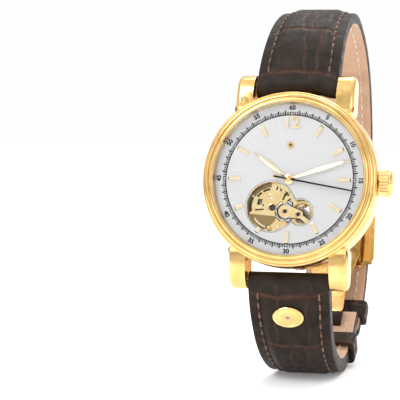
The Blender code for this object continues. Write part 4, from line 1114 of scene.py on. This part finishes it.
class Strap:
    """One half of the strap: its thickness, width and embossing at each place."""

    def __init__(self, route, padded, end_half, pointed):
        self.route = route
        self.padded = padded
        self.end_half = end_half
        self.pointed = pointed
        self.rows = []
        s = 2.7 if pointed else 3.6
        columns = [[0.28], [0.02, 0.5]] if pointed else [[-0.3, 0.55], [-0.42, 0.5]]
        while s < route.length + 6:
            self.rows.append({"s": s, "lean": RANDOM.uniform(-0.5, 0.5), "bow": RANDOM.uniform(1.0, 1.6),
                              "columns": columns[0], "slant": RANDOM.uniform(-0.012, 0.012, 2)})
            columns = columns[1:] or [[RANDOM.uniform(-0.4, -0.1), RANDOM.uniform(0.15, 0.5)]]
            s += (13.2 - 5.5 * ramp(s, 14, 70)) * RANDOM.uniform(0.94, 1.06)

    def round_end(self, s):
        return np.sqrt(np.maximum(0.0, 1 - (np.minimum(s, 0) / LOOP_HALF) ** 2))

    def inner(self, s):
        return (LOOP_HALF + (self.end_half - LOOP_HALF) * ramp(s, 4, 40)) * self.round_end(s)

    def outer(self, s):
        body = LOOP_HALF + (self.padded - LOOP_HALF) * smooth_step(ramp(s, 0, 8))
        return (body + (self.end_half - body) * ramp(s, 26, 52)) * self.round_end(s)

    def low(self, s):
        """Thickness of the flat border outside the stitching."""
        border = (1.5 + (self.end_half - 1.5) * ramp(s, 12, 52)) * self.round_end(s)
        outer = self.outer(s)
        border = np.minimum(border, outer)
        return np.where(s < 1, outer, outer + (border - outer) * ramp(s, 1, 6))

    def half(self, s):
        width = LUG_WIDTH + (END_WIDTH - LUG_WIDTH) * ramp(s, 6, 46)
        if self.pointed:
            width = width - 7.0 * ramp(s, self.route.length - 4.5, self.route.length) ** 2
        return width / 2

    def top(self, s, share):
        """Height of the outer face; share is -1 and 1 at the edges."""
        raised = smooth_step((0.80 - np.abs(share)) / 0.28)
        return self.low(s) + (self.outer(s) - self.low(s)) * raised

    def reach(self, s, x):
        """How far the end of the pointed half stretches on towards the case at its corners."""
        if not self.pointed:
            return 0 * s * x
        return 1.5 * smooth_step((np.abs(x) - 3.0) / 6.0) * ramp(-s, 0.0, LOOP_HALF)

    def groove(self, s, x):
        """How deep a place lies in the creases between the scales, from 0 to 1."""
        deep = np.zeros(np.broadcast(s, x).shape)
        share = x / self.half(s)
        previous = -5.0
        for row in self.rows:
            wave = row["s"] - row["bow"] * np.abs(share) ** 3 + row["lean"] * share
            wave = wave + 0.14 * np.sin(0.9 * x + row["s"])
            deep = np.maximum(deep, np.exp(-((s - wave) / 0.4) ** 2))
            inside = (s > previous) & (s < wave)
            for start, slant in zip(row["columns"], row["slant"]):
                line = (start + slant * (s - row["s"])) * self.half(s)
                line = line + 0.3 * np.sin(0.9 * s + 9 * start)
                line = np.exp(-((x - line) / 0.26) ** 2) * 0.6
                deep = np.maximum(deep, np.where(inside, line, 0))
            previous = wave
        return deep * smooth_step(ramp(s, -0.5, 1.5)) * (0.55 + 0.45 * (np.abs(share) < 0.8))

    def mesh(self):
        """The whole half as one closed skin: embossed face, edges and lining."""
        s = np.concatenate([[-1.86, -1.6, -1.2, -0.8, -0.4], np.arange(0, self.route.length, 0.36),
                            [self.route.length]])
        half = self.half(s)[:, None]
        t = np.linspace(-1, 1, FACE_POINTS)[None, :]
        x_top = t * (half - 0.3)
        groove = self.groove(s[:, None], x_top)
        v_top = self.top(s[:, None], t) - 0.2 * groove * self.round_end(s)[:, None]
        low = self.low(s)[:, None]
        inner = self.inner(s)[:, None]
        x_side = np.concatenate([half - 0.08, half, half, half - 0.1], 1)
        v_side = np.concatenate([low - 0.06, low - 0.3, 0.3 - inner, 0.06 - inner], 1)
        b = np.linspace(1, -1, LINING_POINTS)[None, :]
        x_low = b * (half - 0.32)
        v_low = -inner + 0 * b
        x = np.concatenate([x_top, x_side, x_low, -x_side[:, ::-1]], 1)
        v = np.concatenate([v_top, v_side, v_low, v_side[:, ::-1]], 1)
        deep = np.zeros_like(x)
        deep[:, :groove.shape[1]] = groove
        spot = self.route.at(s)[:, None, :] + self.route.normal(s)[:, None, :] * v[..., None]
        spot = spot - self.route.along(s)[:, None, :] * self.reach(s[:, None], x)[..., None]
        points = np.concatenate([x[..., None], spot], -1).reshape(-1, 3) * MM
        rows, columns = x.shape
        grid = np.arange(rows * columns).reshape(rows, columns)
        near, far = grid[:-1], grid[1:]
        quads = np.stack([near, np.roll(near, -1, 1), np.roll(far, -1, 1), far], -1)
        faces = quads.reshape(-1, 4).tolist() + [grid[0].tolist(), grid[-1][::-1].tolist()]
        mesh = bpy.data.meshes.new("strap")
        mesh.from_pydata(points.tolist(), [], faces)
        mesh.attributes.new("groove", "FLOAT", "POINT").data.foreach_set("value", deep.ravel())
        start = FACE_POINTS + 3
        under = np.zeros((rows - 1, columns), int)
        under[:, start:start + LINING_POINTS + 1] = 1
        index = np.concatenate([under.ravel(), [0, 0]])
        mesh.polygons.foreach_set("material_index", index.astype(np.int32))
        shape = bmesh.new()
        shape.from_mesh(mesh)
        bmesh.ops.recalc_face_normals(shape, faces=shape.faces)
        shape.to_mesh(mesh)
        shape.free()
        return mesh

    def stitches(self, first, last, under=False, start=0.1, end=0.76, radius=0.23):
        """Two rows of short thread humps that follow the strap near its edges."""
        meshes = []
        steps = int((last - first) / STITCH_PITCH)
        for side in (-1, 1):
            for k in range(steps):
                s = first + (k + np.linspace(start, end, 5)) * (last - first) / steps
                x = side * (self.half(s) - STITCH_INSET)
                lift = 0.14 * np.array([-1.6, 0.75, 1.1, 0.75, -1.6])
                if under:
                    v = -self.inner(s) - lift
                else:
                    v = self.top(s, x / (self.half(s) - 0.3)) + lift
                spot = self.route.at(s) + self.route.normal(s) * v[:, None]
                path = [(a, p[0], p[1]) for a, p in zip(x, spot)]
                meshes.append(stroke(path, radius, False, Matrix.Scale(MM, 4), 1))
        return joined(meshes)


def make_straps():
    upper = Strap(Route(UPPER_PATH, 1), 2.5, 1.1, True)
    lower = Strap(Route(LOWER_PATH, -1), 2.4, 1.75, False)
    top = piece("strap_upper_leather", upper.mesh(), (CROC, LINING), "strap_twelve",
                ("strap_upper",), 0, 60)
    bottom = piece("strap_lower_leather", lower.mesh(), (CROC, LINING), "strap_six",
                   ("strap_lower",), 0, 60)
    holes = [plate([softened([(-0.95, -1.75), (0.95, -1.75), (0.95, 1.75), (-0.95, 1.75)], 0.5)],
                   -3, 3, standing(*TONGUE_SLOT, 0))]
    holes += [plate([circle(0.8, 20)], -3, 3, standing(y, z, lean)) for y, z, lean in STRAP_HOLES]
    carve(top, joined(holes))
    for radius, at in ((3.0, CLASP_A), (2.3, HOOK_POCKET)):
        carve(bottom, plate([circle(radius, 24, at)], -4.5, 4.5, sideways()))
    for name, strap, body, last in (("upper", upper, "strap_twelve", upper.route.length - 5),
                                    ("lower", lower, "strap_six", lower.route.length - 3)):
        piece("stitching_" + name, strap.stitches(2.6, last), THREAD, body)
        # Painted shade: short dark strokes where the thread sinks into its holes.
        holes = strap.stitches(2.6, last, False, 0.74, 1.12, 0.24)
        piece("stitch_hole_shade_" + name, holes, SHADE, body)
        piece("lining_stitching_" + name, strap.stitches(2.6, last, True), LINING_THREAD, body)


def standing(y, z, lean):
    """Place of an outline in (x, z) on the strap's rear, leaning by an angle in degrees."""
    return leaning(y, z, 90 - lean) @ Matrix.Scale(MM, 4)


def make_keepers():
    for name, (y, z, lean), half_x, half_v, body in (
            ("keeper_tail", KEEPER_TAIL, 8.3, 1.45, "strap_twelve"),
            ("keeper_strap", KEEPER_STRAP, 8.3, 2.2, "strap_six")):
        wall = 0.95
        box = [(-1, -1), (1, -1), (1, 1), (-1, 1)]
        outside = softened([(a * (half_x + wall), b * (half_v + wall)) for a, b in box], 1.5, 6)
        inside = softened([(a * half_x, b * half_v) for a, b in box], 0.7, 4)
        place = leaning(y, z, lean) @ Matrix.Scale(MM, 4)
        piece(name + "_leather", plate([outside, inside], -2.3, 2.3, place), CROC_TRIM, body,
              (name,), 0.3)


def make_badge():
    y, z, lean = BADGE
    place = leaning(y, z, lean) @ Matrix.Diagonal((3.7 * MM, 2.5 * MM, MM, 1))
    dome = [(0, 0.36), (0.4, 0.34), (0.72, 0.26), (0.80, 0.2), (0.84, 0.32), (0.95, 0.34),
            (1.0, 0.2), (1.0, -0.3), (0, -0.3)]
    rays = []
    for k in range(8):
        spot = place @ Matrix.Rotation(math.pi * k / 8, 4, "Z")
        rays.append(plate([lozenge(0.5 if k % 2 else 0.34, 0.05)], 0.26, 0.40, spot))
    piece("strap_badge_fine", turned(dome, segments=72, place=place), GOLD, "strap_six",
          ("strap_badge",))
    piece("strap_badge_star", joined(rays), BRONZE_AND_SHADE, "strap_six")


def make_clasp():
    for node, edge in (("clasp_base_blade", 0.16), ("clasp_middle_blade", 0.12),
                       ("buckle_frame", 0.22), ("buckle_tongue", 0.14)):
        refined(node, GOLD, edge)


make_camera()
make_world()
make_floor()
make_lamp("key", (-0.5, -0.7, 0.6), 0.45, 4)
make_lamp("fill", (0.85, -0.45, 0.2), 0.5, 0.8)
make_lamp("top", (0.1, 0.25, 1.0), 0.7, 5.5)
make_lamp("back", (0.3, 0.9, 0.35), 0.5, 0.5)
bpy.context.scene.view_settings.view_transform = "Standard"

make_case()
make_crown()
make_back()
make_dial()
make_hands()
make_movement()
make_back_view()
make_straps()
make_keepers()
make_badge()
make_clasp()
